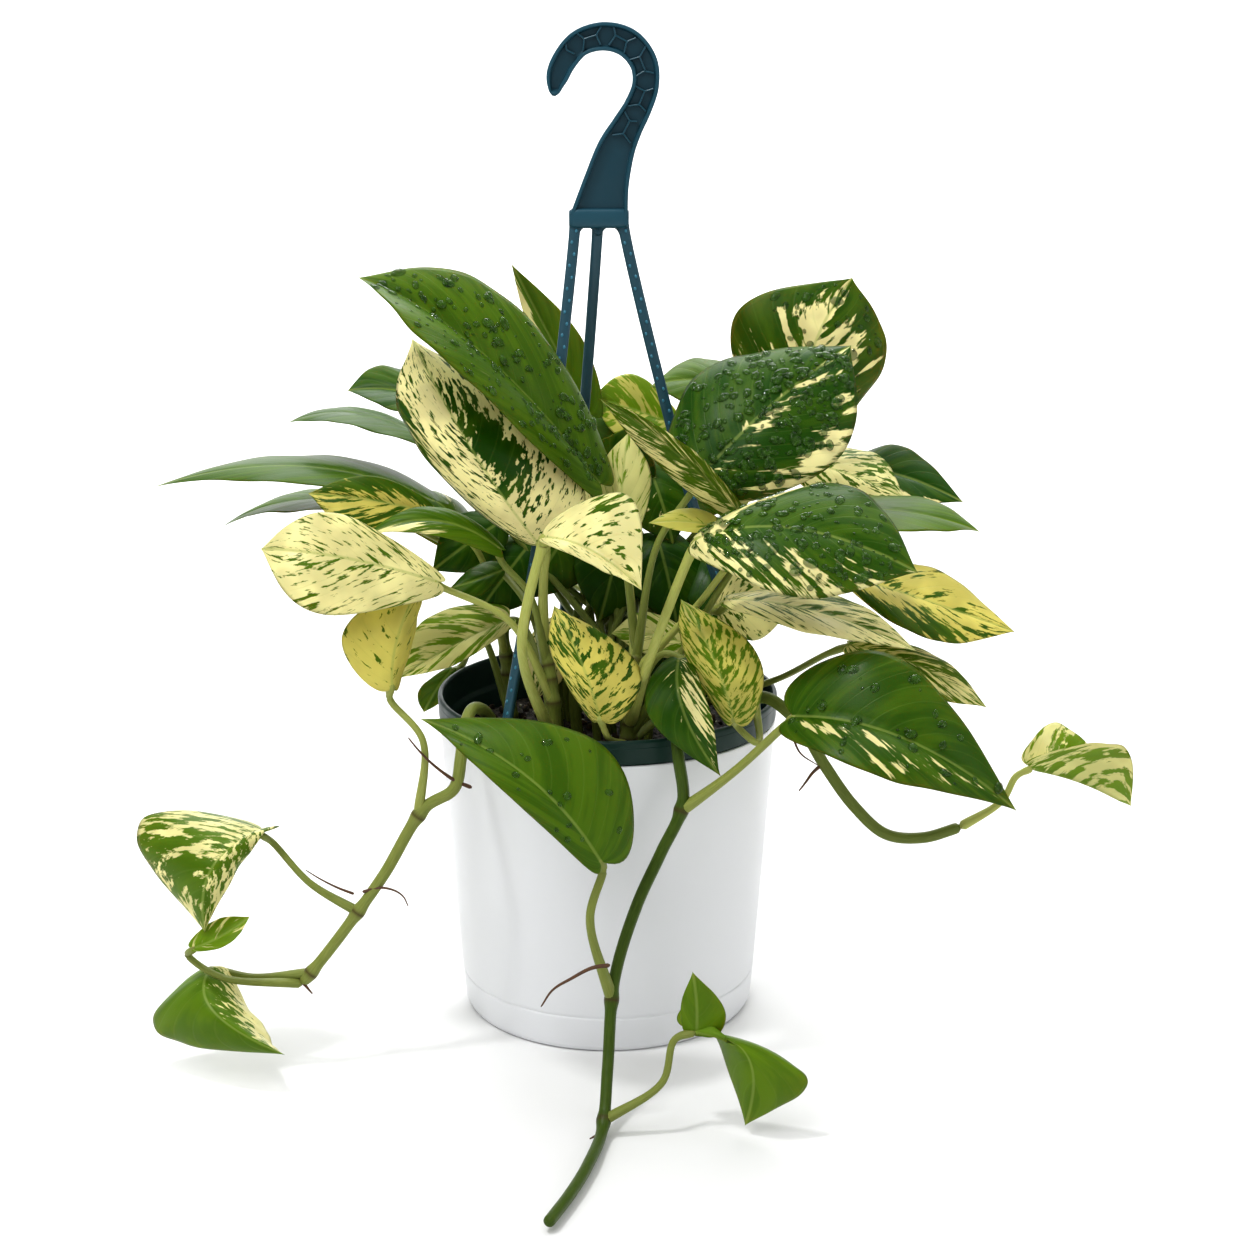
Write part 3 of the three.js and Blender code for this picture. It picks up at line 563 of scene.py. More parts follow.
def repeat_shell(shell, turns, places):
    """Copies of one shell: copy n's points are the shell's points times turns[n], plus places[n]."""
    count = len(places)
    size = len(shell.points)
    points = np.einsum("pk,nkj->npj", shell.points, turns) + places[:, None, :]
    step = np.arange(count)[:, None, None] * size
    return Shell(
        points.reshape(-1, 3),
        (shell.quads[None] + step).reshape(-1, 4),
        (shell.triangles[None] + step).reshape(-1, 3),
        {},
    )


def add_piece(name, shell, finish, nodes=(), crease=None):
    """Puts a shell into a mesh object that rides on the body and stands for the CAD nodes."""
    loops = np.concatenate([shell.quads.ravel(), shell.triangles.ravel()]).astype(np.int32)
    sizes = np.concatenate([np.full(len(shell.quads), 4), np.full(len(shell.triangles), 3)])
    starts = np.concatenate([[0], np.cumsum(sizes)[:-1]]).astype(np.int32)
    mesh = bpy.data.meshes.new(name)
    mesh.vertices.add(len(shell.points))
    mesh.vertices.foreach_set("co", shell.points.astype(np.float32).ravel())
    mesh.loops.add(len(loops))
    mesh.loops.foreach_set("vertex_index", loops)
    mesh.polygons.add(len(starts))
    mesh.polygons.foreach_set("loop_start", starts)
    mesh.update(calc_edges=True)
    for label, value in shell.values.items():
        kind, field = ("FLOAT", "value") if value.shape[1] == 1 else ("FLOAT_VECTOR", "vector")
        layer = mesh.attributes.new(label, kind, "POINT")
        layer.data.foreach_set(field, value.astype(np.float32).ravel())
    mesh.shade_smooth()
    if crease is not None:
        mesh.set_sharp_from_angle(angle=math.radians(crease))
    mesh.materials.append(finish)
    piece = bpy.data.objects.new(name, mesh)
    bpy.context.scene.collection.objects.link(piece)
    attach(piece, "root")
    if nodes:
        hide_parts(*nodes)


def turned(profile, sides):
    """A profile of (radius, height) turned round Z: the point at angle w is (r cos w, r sin w, z)."""
    profile = np.asarray(profile, float)
    angle = np.linspace(0, 2 * np.pi, sides, endpoint=False)
    radius = profile[1:-1, 0][:, None]
    height = np.broadcast_to(profile[1:-1, 1][:, None], (len(profile) - 2, sides))
    rings = np.stack([radius * np.cos(angle), radius * np.sin(angle), height], axis=-1)
    return closed_loft(rings, [0, 0, profile[0, 1]], [0, 0, profile[-1, 1]])


def rounded(corners, radius, steps=5):
    """A broken line with each inner corner replaced by an arc-like blend.

    Each corner c becomes the curve (1-t)^2 p + 2t(1-t) c + t^2 q, where p and q lie on its two sides,
    radius away or half the side's length if that is less.
    """
    corners = np.asarray(corners, float)
    before, corner, after = corners[:-2], corners[1:-1], corners[2:]
    reach_back = np.minimum(radius, np.linalg.norm(before - corner, axis=1) / 2)[:, None]
    reach_on = np.minimum(radius, np.linalg.norm(after - corner, axis=1) / 2)[:, None]
    p = corner + unit(before - corner) * reach_back
    q = corner + unit(after - corner) * reach_on
    t = np.linspace(0, 1, steps)[None, :, None]
    blend = (1 - t) ** 2 * p[:, None] + 2 * t * (1 - t) * corner[:, None] + t**2 * q[:, None]
    return np.concatenate([corners[:1], blend.reshape(-1, corners.shape[1]), corners[-1:]])


def unit(vectors):
    """Each vector divided by its own length."""
    length = np.linalg.norm(vectors, axis=-1, keepdims=True)
    return vectors / np.maximum(length, 1e-12)


def smooth_path(points, per_span=16):
    """The centripetal Catmull-Rom curve through points, as a broken line.

    Between two points the curve is the Hermite cubic whose end slopes come from the neighbours, with
    each span's parameter length the square root of the distance between its points.
    """
    points = np.asarray(points, float)
    padded = np.vstack([2 * points[0] - points[1], points, 2 * points[-1] - points[-2]])
    p0, p1, p2, p3 = padded[:-3], padded[1:-2], padded[2:-1], padded[3:]
    d0, d1, d2 = (
        np.sqrt(np.linalg.norm(b - a, axis=1))[:, None] for a, b in ((p0, p1), (p1, p2), (p2, p3))
    )
    m1 = ((p1 - p0) / d0 - (p2 - p0) / (d0 + d1) + (p2 - p1) / d1) * d1
    m2 = ((p2 - p1) / d1 - (p3 - p1) / (d1 + d2) + (p3 - p2) / d2) * d1
    u = np.linspace(0, 1, per_span, endpoint=False)[None, :, None]
    curve = (
        (2 * u**3 - 3 * u**2 + 1) * p1[:, None]
        + (u**3 - 2 * u**2 + u) * m1[:, None]
        + (3 * u**2 - 2 * u**3) * p2[:, None]
        + (u**3 - u**2) * m2[:, None]
    )
    return np.concatenate([curve.reshape(-1, points.shape[1]), points[-1:]])


def path_length(path):
    """How far along the broken line each of its points lies."""
    return np.concatenate([[0], np.cumsum(np.linalg.norm(np.diff(path, axis=0), axis=1))])


def along_path(path, fractions):
    """The points at the given fractions of a broken line's length."""
    run = path_length(path)
    wanted = np.asarray(fractions) * run[-1]
    return np.stack([np.interp(wanted, run, path[:, k]) for k in range(path.shape[1])], axis=-1)


def carried(path, across, thick, values=None, flat=None):
    """A closed section carried along a path: row r's points are path[r] + across[r, c] e + thick[r, c] f.

    f is the part of the direction `flat` that is square to the path, and e is square to both. If flat
    isn't given, it is the direction most nearly square to the whole path.
    """
    forward = unit(np.gradient(path, axis=0))
    if flat is None:
        flat = np.linalg.eigh(forward.T @ forward)[1][:, 0]
    f = unit(flat - forward * (forward * flat).sum(1)[:, None])
    e = np.cross(f, forward)
    rings = path[:, None] + across[..., None] * e[:, None] + thick[..., None] * f[:, None]
    return closed_loft(rings, path[0] - 1e-5 * forward[0], path[-1] + 1e-5 * forward[-1], values)


def rod(path, radius, sides, values=None, groove=0.0, flat=None):
    """A round rod: across = R cos w, thick = R sin w, where R = radius (1 - groove g(w)), and g is a
    narrow dip at the top of the section. Both ends are rounded off over one radius."""
    w = np.linspace(0, 2 * np.pi, sides, endpoint=False)[None]
    dip = groove * np.exp(-(((w - np.pi / 2) / 0.5) ** 2))
    run = path_length(path)
    ends = np.minimum(run, run[-1] - run) / np.maximum(radius, 1e-6)
    cap = np.sqrt(np.clip(1 - (1 - np.minimum(ends + 0.12, 1)) ** 2, 0, 1))
    size = (radius * cap)[:, None] * (1 - dip)
    return carried(path, size * np.cos(w), size * np.sin(w), values, flat)


# ---- materials --------------------------------------------------------------------


class Recipe:
    """One procedural material: a Principled shader and the nodes that drive its sockets."""

    def __init__(self, name, **sockets):
        self.material = bpy.data.materials.new(name)
        self.material.use_nodes = True
        self.nodes = self.material.node_tree.nodes
        self.links = self.material.node_tree.links
        self.shader = self.nodes["Principled BSDF"]
        for socket, value in sockets.items():
            self.shader.inputs[socket.replace("_", " ")].default_value = value

    def feed(self, socket, value):
        """Links an output to the socket, or sets the socket to a value."""
        if isinstance(value, bpy.types.NodeSocket):
            self.links.new(value, socket)
        else:
            socket.default_value = value

    def node(self, kind, inputs, **settings):
        """Adds a node with its settings and its inputs."""
        made = self.nodes.new("ShaderNode" + kind)
        for key, value in settings.items():
            setattr(made, key, value)
        for key, value in inputs.items():
            self.feed(made.inputs[key], value)
        return made

    def math(self, operation, *terms, clamp=False):
        """One sum, product or function of the terms, held between 0 and 1 if clamp is set."""
        return self.node("Math", dict(enumerate(terms)), operation=operation, use_clamp=clamp).outputs[0]

    def attribute(self, name, output="Fac"):
        """The value that a mesh holds per point under this name."""
        made = self.node("Attribute", {}, attribute_type="GEOMETRY", attribute_name=name)
        return made.outputs[output]

    def noise(self, vector, scale, detail=2.0, roughness=0.5):
        """Cloudy noise about 0.5, with `scale` lumps to the vector's unit."""
        inputs = {"Vector": vector, "Scale": scale, "Detail": detail, "Roughness": roughness}
        return self.node("TexNoise", inputs).outputs["Fac"]

    def ramp(self, factor, low, high, start=0.0, end=1.0):
        """Takes the factor from start at low to end at high, smoothly, and holds it outside them."""
        inputs = {0: factor, 1: low, 2: high, 3: start, 4: end}
        return self.node("MapRange", inputs, interpolation_type="SMOOTHSTEP").outputs[0]

    def mix(self, factor, a, b):
        """Colour a where the factor is 0, and b where it is 1."""
        return self.node("Mix", {0: factor, 6: a, 7: b}, data_type="RGBA").outputs[2]

    def place(self):
        """The piece's own Object coordinates, in metres."""
        return self.node("TexCoord", {}).outputs["Object"]

    def bump(self, height, strength, distance):
        """Makes the surface look raised where the height is greater, by up to the distance in metres."""
        inputs = {"Height": height, "Strength": strength, "Distance": distance}
        self.links.new(self.node("Bump", inputs).outputs[0], self.shader.inputs["Normal"])

    def colour(self, value):
        """Feeds the shader's own colour."""
        self.feed(self.shader.inputs["Base Color"], value)

    def rough(self, value):
        """Feeds the shader's own roughness."""
        self.feed(self.shader.inputs["Roughness"], value)


def shade(colour, factor=1.0):
    """A colour times a factor, with its alpha."""
    return (*(min(1.0, part * factor) for part in colour), 1.0)


def moulded_plastic(name, colour, roughness, mottle, grain_scale=0, grain_height=0, recess_shade=0, **sockets):
    """Moulded plastic: a faint cloudy tint, and uneven gloss with a fine grain if grain_height isn't 0.

    With a recess share, the tint is that share of the colour near the plate's middle plane, y = 0, and full
    on its raised flange: painted shade on the sunken web between the flanges.
    """
    recipe = Recipe(name, IOR=1.5, **sockets)
    place = recipe.place()
    cloud = recipe.noise(place, 35.0, 3.0)
    tint = recipe.mix(cloud, shade(colour, 1 - mottle), shade(colour, 1 + mottle))
    if recess_shade:
        # Painted shade: the web near y = 0 gets a dimmer share of the colour, standing for the shade that
        # falls between the flanges.
        deep = recipe.math("ABSOLUTE", recipe.node("SeparateXYZ", {0: place}).outputs[1])
        tint = recipe.mix(recipe.ramp(deep, 1.0 * MM, 3.2 * MM), shade(colour, recess_shade), tint)
    recipe.colour(tint)
    if grain_height:
        recipe.rough(recipe.ramp(recipe.noise(place, 90.0), 0.3, 0.7, roughness - 0.05, roughness + 0.06))
        recipe.bump(recipe.noise(place, grain_scale, 2.0), 0.3, grain_height)
    else:
        recipe.rough(roughness)
    return recipe.material


def soil_finish():
    """Dark potting soil: nearly black peat with brown crumbs."""
    recipe = Recipe("potting_soil")
    place = recipe.place()
    crumbs = recipe.noise(place, 420.0, 4.0, 0.65)
    dark = recipe.mix(recipe.ramp(crumbs, 0.45, 0.65), (0.006, 0.004, 0.003, 1), (0.045, 0.026, 0.014, 1))
    recipe.colour(dark)
    recipe.rough(recipe.ramp(crumbs, 0.3, 0.7, 0.95, 0.6))
    recipe.bump(recipe.noise(place, 700.0, 3.0), 0.8, 0.0012)
    return recipe.material


def bits_finish(name, dark, light):
    """Bark or perlite: mottled between two colours, with a rough grain."""
    recipe = Recipe(name)
    place = recipe.place()
    recipe.colour(recipe.mix(recipe.ramp(recipe.noise(place, 260.0, 3.0), 0.35, 0.65), dark, light))
    recipe.rough(recipe.ramp(recipe.noise(place, 300.0), 0.3, 0.7, 0.7, 0.95))
    recipe.bump(recipe.noise(place, 900.0, 3.0), 0.5, 0.0006)
    return recipe.material


def stem_finish():
    """Stems and petioles: ribs along them, a tint from green to cream, and brown scars at the nodes."""
    recipe = Recipe("stem_skin", Specular_IOR_Level=0.22, Subsurface_Weight=0.06, Subsurface_Scale=0.002)
    where = recipe.node("SeparateXYZ", {0: recipe.attribute("stem_place", "Vector")}).outputs
    around, run, tint = where[0], where[1], where[2]
    streak_place = recipe.node("CombineXYZ", {0: recipe.math("MULTIPLY", around, 9.0), 1: run}).outputs[0]
    streak = recipe.noise(streak_place, 1.6, 3.0)
    green = recipe.mix(streak, (0.018, 0.046, 0.002, 1), (0.070, 0.12, 0.008, 1))
    cream = recipe.mix(streak, (0.33, 0.38, 0.07, 1), (0.58, 0.58, 0.20, 1))
    body = recipe.mix(tint, green, cream)
    scar = recipe.attribute("stem_scar")
    body = recipe.mix(recipe.math("MULTIPLY", scar, 0.85), body, (0.06, 0.035, 0.012, 1))
    recipe.colour(body)
    recipe.rough(recipe.ramp(streak, 0.3, 0.7, 0.34, 0.5))
    recipe.bump(streak, 0.35, 0.0006)
    return recipe.material


LIME = (0.36, 0.42, 0.10, 1)
MIDRIB_GREEN = (0.30, 0.38, 0.09, 1)
VEIN_GREEN = (0.24, 0.34, 0.08, 1)
UNDERSIDE_GREEN = (0.22, 0.34, 0.06, 1)
HALF_SHIFT = 37.0  # the left half's pattern is read this far on in the noise, the right half's as far back


def leaf_finish(name, pale, settings):
    """Leaf skin. The blade's own values are leaf_place (along and across in centimetres, and a seed),
    leaf_level (the noise height under which the skin is green), leaf_mix (share of fine specks, how
    light the green is, and 1 on the underside) and leaf_rib (distance from the midrib in millimetres).
    The pattern is noise stretched along the side veins. Where it is under the level the skin is green,
    just above it a mid green, and beyond that pale. The side veins show as thin bands where the cosine
    of their own place is lowest, and the midrib as a pale line."""
    recipe = Recipe(name, Subsurface_Weight=0.06, Subsurface_Scale=0.0025, Specular_IOR_Level=0.14)
    where = recipe.node("SeparateXYZ", {0: recipe.attribute("leaf_place", "Vector")}).outputs
    mixed = recipe.node("SeparateXYZ", {0: recipe.attribute("leaf_mix", "Vector")}).outputs
    level = recipe.attribute("leaf_level")
    rib = recipe.attribute("leaf_rib")
    side = recipe.math("MULTIPLY_ADD", recipe.math("SIGN", where[1]), HALF_SHIFT, where[2])
    across = recipe.math("ABSOLUTE", where[1])

    def stretched(along_scale, across_scale, detail, shift):
        """Noise over the blade's own places, with its own scale along the blade and across it."""
        vector = {
            0: recipe.math("MULTIPLY", where[0], along_scale),
            1: recipe.math("MULTIPLY", across, across_scale),
            2: recipe.math("ADD", side, shift),
        }
        return recipe.noise(recipe.node("CombineXYZ", vector).outputs[0], 1.0, detail, 0.55)

    streaks = stretched(1.8, 0.55, 4.5, 0.0)
    specks = stretched(3.2, 2.0, 3.0, 11.0)
    pattern = recipe.node("Mix", {0: mixed[0], 2: streaks, 3: specks}, data_type="FLOAT").outputs[0]
    over = recipe.math("SUBTRACT", pattern, level)

    clouds = stretched(1.0, 0.35, 3.0, 23.0)
    tone = recipe.math("ADD", recipe.ramp(clouds, 0.40, 0.64, -0.05, 0.15), mixed[1], clamp=True)
    deep, light = shade(settings.deep_green), shade(settings.light_green)
    green = recipe.mix(tone, deep, light)
    middle = recipe.mix(0.45, green, shade(pale, 0.75))
    blush = recipe.noise(recipe.place(), 60.0, 2.0)
    light_pale = recipe.mix(recipe.ramp(blush, 0.35, 0.7), shade(pale, 0.80), shade(pale, 1.08))
    light_pale = recipe.mix(recipe.math("MULTIPLY", mixed[1], 0.5), light_pale, LIME)
    skin = recipe.mix(recipe.ramp(over, -0.012, 0.004), green, middle)
    skin = recipe.mix(recipe.ramp(over, 0.010, 0.026), skin, light_pale)

    rib_line = recipe.ramp(rib, 0.25, 1.1, 0.42, 0.0)
    skin = recipe.mix(rib_line, skin, MIDRIB_GREEN)
    turn = recipe.math("MULTIPLY", where[0], 2 * math.pi * 0.01 / VEIN_SPACING)
    vein = recipe.ramp(recipe.math("COSINE", turn), -0.93, -1.0)
    skin = recipe.mix(recipe.math("MULTIPLY", vein, 0.07), skin, VEIN_GREEN)
    skin = recipe.mix(recipe.math("MULTIPLY", mixed[2], 0.14), skin, UNDERSIDE_GREEN)
    recipe.colour(skin)
    gloss = recipe.ramp(clouds, 0.3, 0.7, 0.30, 0.42)
    recipe.rough(recipe.math("MULTIPLY_ADD", mixed[2], 0.18, gloss))
    cells = recipe.noise(recipe.place(), 1500.0, 2.0)
    height = recipe.math("MULTIPLY_ADD", cells, 0.35, recipe.math("MULTIPLY", vein, -0.3))
    recipe.bump(height, 0.35, 0.0004)
    return recipe.material


def water_finish():
    """Clear water over a leaf: half seen through, with a sharp gloss, and a painted green that stands for the
    leaf seen through the drop.
    """
    recipe = Recipe("water", Alpha=0.5, Roughness=0.06, IOR=1.33, Coat_Weight=0.3, Coat_Roughness=0.02)
    # Painted light: a cloudy mix of dark and lighter green, for the lit leaf showing through the clear drop.
    tint = recipe.ramp(recipe.noise(recipe.place(), 400.0), 0.3, 0.7)
    recipe.colour(recipe.mix(tint, (0.012, 0.045, 0.003, 1), (0.07, 0.17, 0.02, 1)))
    return recipe.material


# ---- blades -----------------------------------------------------------------------

LOBE_DEPTH = 0.12
LOBE_PLACE = 0.09
TIP_POWER = 1.2
BLADE_ROWS = 60
BLADE_COLUMNS = 22
VEIN_SPACING = 9.5 * MM
VEIN_SLANT = 0.3  # how far along the blade a side vein runs between the midrib and the margin
MIDRIB_DEPTH, MIDRIB_WIDTH = 0.5 * MM, 0.9 * MM  # the groove on the upper face
KEEL_HEIGHT, KEEL_WIDTH = 0.9 * MM, 1.1 * MM  # the ridge under the midrib
MARGIN_WAVE = 0.022  # height of the margin's waves for the blade's half width
SEED_STEP = 3.7  # how far the pattern moves on in the noise from one blade to the next

# The noise lies about 0.5 with a spread of NOISE_SPREAD. To be green over one of SHARES of its face, a
# blade is green under the height that is as many spreads above the middle as NOISE_STEPS says.
NOISE_SPREAD = 0.1
SHARES = [0, 0.01, 0.05, 0.1, 0.2, 0.3, 0.5, 0.7, 0.8, 0.9, 0.95, 0.99, 1]
NOISE_STEPS = [-4, -2.33, -1.64, -1.28, -0.84, -0.52, 0, 0.52, 0.84, 1.28, 1.64, 2.33, 4]


def margin_along(s):
    """How far along the midrib the margin is at s: s less a lobe that peaks at s = LOBE_PLACE."""
    place = s / LOBE_PLACE
    return s - LOBE_DEPTH * place * np.exp(1 - place) * (1 - s)


def margin_across(s, widest):
    """The blade's opening at s: s^p (1-s)^q, divided by its own greatest value, which is at widest."""
    power = TIP_POWER * widest / (1 - widest)
    peak = widest**power * (1 - widest) ** TIP_POWER
    return s**power * (1 - s) ** TIP_POWER / peak


class Blade:
    """One leaf blade over (s, v): s runs from the petiole to the tip, v from 1 at the left margin to -1."""

    def __init__(self, places, bulge, seed):
        base, middle, tip, left, right = np.array(places[:5], float) * MM
        self.widest = places[5]
        self.base, self.middle, self.tip = base, middle, tip
        centre = self.midrib(np.array(margin_along(self.widest)))
        self.to_left = left - centre
        self.to_right = right - centre
        self.half = (np.linalg.norm(self.to_left) + np.linalg.norm(self.to_right)) / 2
        self.length = np.linalg.norm(middle - base) + np.linalg.norm(tip - middle)
        self.bulge = bulge
        self.seed = seed

    def midrib(self, a):
        """The parabola through the base, the middle and the tip at a = 0, 1/2 and 1."""
        a = a[..., None]
        return (
            self.base * (1 - a) * (1 - 2 * a) + self.middle * 4 * a * (1 - a) + self.tip * a * (2 * a - 1)
        )

    def slope(self, a):
        """How the midrib's point changes with a."""
        a = a[..., None]
        return self.base * (4 * a - 3) + self.middle * (4 - 8 * a) + self.tip * (4 * a - 1)

    def skin(self, s, v, vein_depth):
        """The upper face: midrib(a) + |v| opening(s) side + height normal.

        a runs from s^1.4 on the midrib to the margin's own place. The height is a bulge on each half,
        4|v|(1-|v|), pressed side veins, a narrow groove on the midrib and a wave along the margin.
        Returns the points, the unit normals, the distance from the midrib, the opening and the vein place.
        """
        s, v = np.broadcast_arrays(s, v)
        reach = np.abs(v)
        row = s**1.4
        a = row + (margin_along(s) - row) * reach**1.5
        opening = margin_across(s, self.widest)
        side = np.where(v[..., None] > 0, self.to_left, self.to_right)
        turn = np.clip(v / 0.3 + 0.5, 0, 1)[..., None]
        turn = turn * turn * (3 - 2 * turn)
        normal = unit(np.cross(self.slope(a), self.to_left * turn - self.to_right * (1 - turn)))
        width = np.where(v > 0, np.linalg.norm(self.to_left), np.linalg.norm(self.to_right))
        distance = reach * opening * width
        vein_place = s - VEIN_SLANT * reach * (1 - 0.3 * s)
        quilt = np.sqrt(np.clip(4 * reach * (1 - reach), 0, 1))
        height = self.bulge * self.half * (4 * reach * (1 - reach)) ** 0.9 * np.minimum(opening, 1) ** 0.8
        ripple = np.cos(2 * np.pi * vein_place * self.length / VEIN_SPACING)
        height = height + vein_depth * ripple * quilt * opening
        groove = MIDRIB_DEPTH * np.exp(-((distance / MIDRIB_WIDTH) ** 2))
        height = height - groove * np.minimum(1, 2 * opening)
        phase = self.seed * 2.4 + np.where(v > 0, 0.0, 1.9)
        wave = np.sin(2 * np.pi * (2.2 * s) + phase) + 0.5 * np.sin(2 * np.pi * (4.7 * s) + 2 * phase)
        height = height + MARGIN_WAVE * self.half * wave * reach**3 * np.minimum(1, opening)
        point = self.midrib(a) + side * (reach * opening)[..., None] + normal * height[..., None]
        return point, normal, distance, opening, vein_place


def green_share(look, s, v):
    """The share of green at (s, v): the blade's own share plus each stroke's change, which fades as
    exp(-(ds/length)^2 - (dv/width)^2)."""
    share = np.full(np.broadcast(s, v).shape, look.green)
    for along, across, length, width, change in look.strokes:
        share = share + change * np.exp(-(((s - along) / length) ** 2) - ((v - across) / width) ** 2)
    return np.clip(share, 0, 1)


def blade_shell(blade, look, settings):
    """A thin closed blade: the upper face from the left margin to the right, and back under it.

    The under face lies below the upper one by thickness sqrt(1 - v^2), plus the midrib's keel.
    """
    s = (1 - np.cos(np.pi * np.arange(1, BLADE_ROWS) / BLADE_ROWS)) / 2
    s = (0.35 * s + 0.65 * np.arange(1, BLADE_ROWS) / BLADE_ROWS)[:, None]
    over = np.sin(np.linspace(1, -1, BLADE_COLUMNS + 1) * np.pi / 2) * 0.35
    over = over + np.linspace(1, -1, BLADE_COLUMNS + 1) * 0.65
    v = np.concatenate([over, over[1:-1][::-1]])[None]
    under = np.concatenate([[0.5], np.zeros(BLADE_COLUMNS - 1), [0.5], np.ones(BLADE_COLUMNS - 1)])[None]
    point, normal, distance, opening, vein_place = blade.skin(s, v, settings.vein_depth)
    keel = KEEL_HEIGHT * (1 - 0.8 * s) * np.exp(-((distance / KEEL_WIDTH) ** 2))
    depth = (settings.thickness * np.sqrt(1 - v**2) + keel) * np.minimum(1, 4 * opening)
    rings = point - normal * (depth * (under == 1))[..., None]
    share = green_share(look, s, v)
    everywhere = np.ones(share.shape)
    along, across = vein_place * blade.length * 100, v * np.ones_like(s) * blade.half * 100
    values = {
        "leaf_place": np.stack([along, across, blade.seed * SEED_STEP * everywhere], axis=-1),
        "leaf_level": (0.5 + NOISE_SPREAD * np.interp(share, SHARES, NOISE_STEPS))[..., None],
        "leaf_mix": np.stack([part * everywhere for part in (look.specks, look.lightness, under)], axis=-1),
        "leaf_rib": (distance * 1000)[..., None],
    }
    return closed_loft(rings, blade.base, blade.tip, values)


def leaf_blade(name):
    """The blade of a leaf of LEAVES, with its own number as its seed."""
    return Blade(LEAVES[name], LOOKS[name].bulge, int(name[-2:]))


# ---- stems ------------------------------------------------------------------------

SOIL_PLACE = 140
STEM_SIDES, PETIOLE_SIDES, STALK_SIDES = 20, 14, 10
GROOVE_FACING = np.array([0.15, -0.3, 1.0])  # the side that a petiole's groove turns to
NO_NODES = [2.0]  # a node past the stem's end, so that none shows
NODE_SWELLING, NODE_LENGTH, SCAR_LENGTH = 0.32, 3.5 * MM, 1.1 * MM
BEND_BACK, BEND_UNDER = 7 * MM, 6 * MM  # where a petiole bends, behind its blade's base and below it

# The skin's tint runs from 0, green, to 1, cream.
STEM_TINTS = {"vine_front": 0.02, "vine_left": 0.42, "vine_right": 0.22}
CROWN_TINT = 0.35
STALK_TINT = 0.25
PETIOLE_TINTS = {"leaf_cream": 0.80, "leaf_yellow": 0.62, "leaf_green": 0.38}
WIDE_PETIOLES = {"leaf_03": 1.45, "leaf_24": 1.35, "leaf_02": 1.3, "leaf_27": 1.2, "leaf_32": 1.2}
PALE_PETIOLES = {"leaf_24": 0.85, "leaf_29": 0.9, "leaf_40": 0.85, "leaf_27": 0.5, "leaf_31": 0.5}


def planted(points):
    """A stem's line: from its foot in the soil up through the points after the first."""
    x, y = points[0][:2]
    line = [(x, y, SOIL_PLACE - 14), (x, y, SOIL_PLACE + 3), *points[1:]]
    return smooth_path(np.array(line, float) * MM, 40)


def petiole_line(stem, leaf, start, bow):
    """A petiole's line: from the stem over an arch to a bend behind and below the blade, and on into it."""
    places = np.array(LEAVES[leaf][:5], float) * MM
    base, middle, tip, left, right = places
    slope = unit(-3 * base + 4 * middle - tip)
    under = unit(np.cross(slope, left - right))
    bend = base - BEND_BACK * slope - BEND_UNDER * under
    origin = along_path(stem, [start])[0]
    arch = origin + (bend - origin) * 0.4
    arch[2] = origin[2] + (bend[2] - origin[2]) * 0.7
    if bow:
        arch = np.array(bow, float) * MM
    end = base + slope * 1.5 * MM - under * 0.5 * MM
    return smooth_path([origin, arch, bend, end], 24)


def skin_values(rows, sides, run, tint, scar):
    """Values of a stem's skin: the turn round it, the centimetres along it, the tint and the scars."""
    turn = np.abs(np.linspace(-1, 1, sides, endpoint=False))[None]
    along = run[:, None] * 100
    place = np.stack(np.broadcast_arrays(turn, along, np.full((rows, sides), tint)), axis=-1)
    return {"stem_place": place, "stem_scar": np.broadcast_to(scar[:, None, None], (rows, sides, 1))}


def stem_rod(line, radius, sides, spacing, tint, nodes, groove=0.0, flat=None):
    """A rod whose radius swells by about a third at each node, with a brown scar there."""
    total = path_length(line)[-1]
    rows = max(8, int(total / spacing))
    path = along_path(line, np.linspace(0, 1, rows))
    run = np.linspace(0, total, rows)
    gaps = run[:, None] - np.asarray(nodes)[None] * total
    swelling = 1 + NODE_SWELLING * np.exp(-((gaps / NODE_LENGTH) ** 2)).sum(1)
    scar = np.clip(np.exp(-((gaps / SCAR_LENGTH) ** 2)).sum(1), 0, 1)
    size = radius(run / total) * swelling
    return rod(path, size, sides, skin_values(rows, sides, run, tint, scar), groove, flat)


def vine_shells(name, settings):
    """A stem and its petioles, each a rod of its own that starts inside the stem."""
    parts = VINES[name]
    line = planted(parts["stem"])
    nodes = [petiole[0] for petiole in parts["petioles"].values() if petiole[0] < 0.99]
    tint = STEM_TINTS.get(name, CROWN_TINT)
    radius = settings.stem_radius

    def stem_size(u):
        return radius * (1.05 - 0.15 * u)

    shells = [stem_rod(line, stem_size, STEM_SIDES, 1.3 * MM, tint, nodes or NO_NODES, 0.12)]
    for leaf, (start, bow) in parts["petioles"].items():
        colour = PALE_PETIOLES.get(leaf, PETIOLE_TINTS[LOOKS[leaf].slot])
        thick = settings.petiole_radius * WIDE_PETIOLES.get(leaf, 1.0)

        def petiole_size(u, thick=thick):
            sheath = 0.42 * np.exp(-((u / 0.28) ** 2))
            elbow = 0.18 * np.exp(-(((u - 0.93) / 0.05) ** 2))
            return thick * (0.86 + sheath + elbow)

        route = petiole_line(line, leaf, start, bow)
        shells.append(
            stem_rod(route, petiole_size, PETIOLE_SIDES, 1.6 * MM, colour, NO_NODES, 0.22, GROOVE_FACING)
        )
    return shells


def inner_blade(row):
    """An inner blade's places: its middle bulges 6 mm out, and its margins lie half a width to the sides."""
    base, tip, half = np.array(row[0], float), np.array(row[1], float), row[2]
    run = tip - base
    out = unit(np.cross(np.cross(run, INNER_FACING), run))
    side = unit(np.cross(out, run)) * half
    middle = (base + tip) / 2 + out * 6
    wide = base + run * 0.42 + out * 1.5
    return (base, middle, tip, wide + side, wide - side, 0.42)


